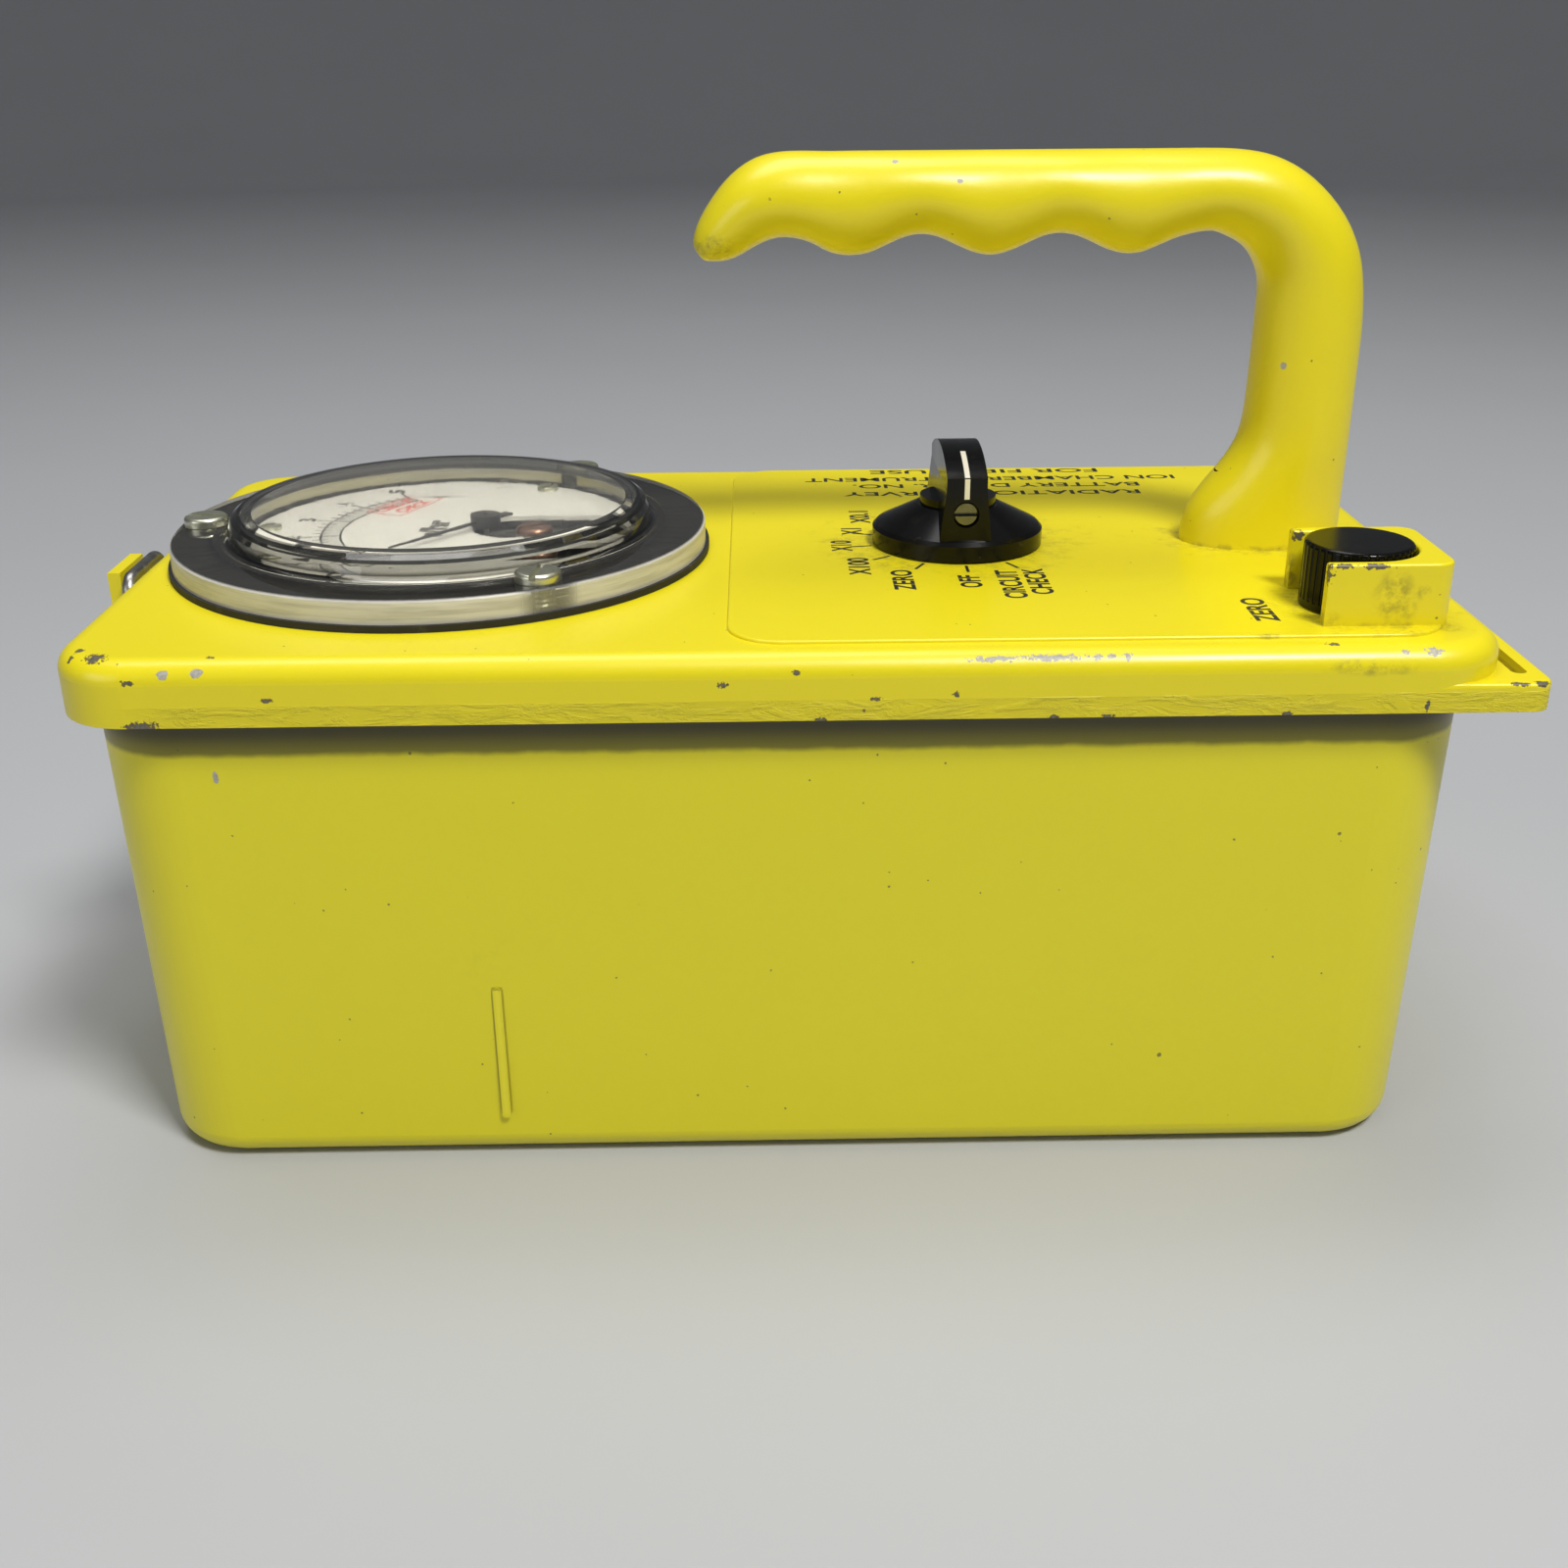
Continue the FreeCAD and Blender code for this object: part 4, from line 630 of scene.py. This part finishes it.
def print_dial(ink, red, grey):
    """Scale, red words, and a grey band between the arcs, a little lower than their ink."""
    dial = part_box("meter_dial")[1].z / MM
    last = SCALE_START + DEGREES_PER_UNIT * SCALE_UNITS
    print_scale(ink, dial, last)
    bm = bmesh.new()
    arc(bm, PIVOT, SCALE_RADII[1] + 0.1, SCALE_RADII[0] - 0.1, SCALE_START, last, dial - INK / 3)
    add_piece("dial_band", joined(bm, []), grey, "housing")
    print_check_box(red, dial)


def knob_line_rows(knob):
    """Pairs of points across the line, up the knob's front face and back along its top."""
    half_width, crown, break_in_line = 0.42, 100 * MM, 3 * MM
    corners = [vertex.co for vertex in knob.data.vertices]
    tree = BVHTree.FromPolygons(corners, [face.vertices for face in knob.data.polygons])
    from_front = [((-30, 97.6 + 0.3 * n), (0, 1, 0)) for n in range(12)]
    from_above = [((-14.5 + 0.4 * n, 120), (0, 0, -1)) for n in range(25)]
    rows = []
    for (y, z), way in from_front + from_above:
        row = []
        for x in (RANGE_AXIS[0] - half_width, RANGE_AXIS[0] + half_width):
            hit, normal = tree.ray_cast(Vector((x, y, z)) * MM, Vector(way))[:2]
            if hit is not None and (way[1] or hit.z > crown):
                row.append(hit + normal * INK * MM)
        if len(row) == 2 and (not rows or (row[0] - rows[-1][0]).length < break_in_line):
            rows.append(row)
    return rows


def ink_knob_line(white):
    """Inlaid pointer line on the range knob, a closed strip sunk a little into its surface."""
    rows = knob_line_rows(NODES["range_knob"])
    inwards = Vector((0, 0.05, -0.05)) * MM
    bm = bmesh.new()
    lifted = [[bm.verts.new(p) for p in row] for row in rows]
    sunk = [[bm.verts.new(p + inwards) for p in row] for row in rows]
    for n in range(len(rows) - 1):
        a, b, c, d = lifted[n], lifted[n + 1], sunk[n], sunk[n + 1]
        bm.faces.new((a[0], a[1], b[1], b[0]))
        bm.faces.new((c[1], c[0], d[0], d[1]))
        bm.faces.new((a[0], b[0], d[0], c[0]))
        bm.faces.new((b[1], a[1], c[1], d[1]))
    bm.faces.new((lifted[0][1], lifted[0][0], sunk[0][0], sunk[0][1]))
    bm.faces.new((lifted[-1][0], lifted[-1][1], sunk[-1][1], sunk[-1][0]))
    add_piece("range_knob_line", joined(bm, []), white, "range_selector")


# --- studio ---------------------------------------------------------------------------
def make_floor():
    """Pale floor that curves up into a plain round backdrop, far off on every side."""
    flat, bend, high, drop, sides = 1.9, 1.2, 3.2, 0.0002, 72
    turns = [math.radians(6 * n) for n in range(1, 16)]
    profile = [(flat, 0.0)] + [(flat + bend * math.sin(t), bend * (1 - math.cos(t))) for t in turns]
    profile.append((flat + bend, high))
    bm = bmesh.new()
    rings = []
    for radius, z in profile:
        ring = [around((0, 0), radius, 360 * n / sides) for n in range(sides)]
        rings.append([bm.verts.new((*place, z - drop)) for place in ring])
    bm.faces.new(rings[0])
    for inner, outer in zip(rings, rings[1:]):
        for n in range(sides):
            m = (n + 1) % sides
            bm.faces.new((inner[n], outer[n], outer[m], inner[m])).smooth = True
    mesh = bpy.data.meshes.new("floor")
    bm.to_mesh(mesh)
    bm.free()
    floor = bpy.data.objects.new("floor", mesh)
    bpy.context.scene.collection.objects.link(floor)
    s = Surface("floor")
    colour = s.mix(s.noise(220, 3), (0.43, 0.44, 0.46), (0.47, 0.48, 0.50))
    floor.data.materials.append(s.finish(colour, 0.8))


def add_light(name, place, size, watts, tint=(1, 1, 1)):
    """Soft rectangular lamp, aimed at the middle of the object."""
    lamp = bpy.data.lights.new(name, "AREA")
    lamp.shape, lamp.size, lamp.size_y = "RECTANGLE", size[0], size[1]
    lamp.energy = watts
    lamp.color = tint
    carrier = bpy.data.objects.new(name, lamp)
    carrier.location = place
    way = Vector((0, 0, 0.06)) - Vector(place)
    carrier.rotation_euler = way.to_track_quat("-Z", "Y").to_euler()
    bpy.context.scene.collection.objects.link(carrier)


def make_studio():
    """Dim even surroundings and three soft lamps."""
    world = bpy.data.worlds.new("studio")
    world.use_nodes = True
    background = world.node_tree.nodes["Background"]
    background.inputs["Color"].default_value = (0.80, 0.82, 0.86, 1)
    background.inputs["Strength"].default_value = 0.20
    bpy.context.scene.world = world
    bpy.context.scene.view_settings.view_transform = "Standard"
    add_light("key", (0.38, -0.58, 1.15), (0.30, 0.30), 14, (1.0, 0.98, 0.94))
    add_light("overhead", (-0.15, 0.25, 1.25), (0.9, 0.5), 6)
    add_light("left", (-1.10, -0.90, 0.55), (0.8, 0.6), 3.4)


def make_camera():
    """Camera from its place, its lens and its three angles."""
    yaw, pitch, roll = (math.radians(a) for a in (CAMERA_YAW, CAMERA_PITCH, CAMERA_ROLL))
    ahead = Vector((math.sin(yaw) * math.cos(pitch), math.cos(yaw) * math.cos(pitch), -math.sin(pitch)))
    right = Vector((math.cos(yaw), -math.sin(yaw), 0))
    up = right.cross(ahead)
    right, up = (right * math.cos(roll) + up * math.sin(roll),
                 up * math.cos(roll) - right * math.sin(roll))
    camera = bpy.data.objects.new("camera", bpy.data.cameras.new("camera"))
    camera.data.lens, camera.data.sensor_width = CAMERA_LENS, SENSOR
    turned = Matrix((right, up, -ahead)).transposed().to_4x4()
    camera.matrix_world = Matrix.Translation(Vector(CAMERA_PLACE) * MM) @ turned
    bpy.context.scene.collection.objects.link(camera)
    bpy.context.scene.camera = camera


make_camera()
make_studio()
make_floor()
paint_nodes(make_materials())
black_ink = printed("black_ink", (0.010, 0.010, 0.012), (0.02, 0.02, 0.02))
print_panel(black_ink)
print_dial(printed("dial_ink", (0.03, 0.03, 0.03), (0.06, 0.06, 0.06), 0.1),
           printed("red_ink", (0.55, 0.05, 0.04), (0.62, 0.10, 0.08), 0.1),
           printed("grey_ink", (0.42, 0.42, 0.40), (0.47, 0.47, 0.44), 0.0))
ink_knob_line(printed("white_ink", (0.78, 0.74, 0.60), (0.86, 0.82, 0.70), 0.1))
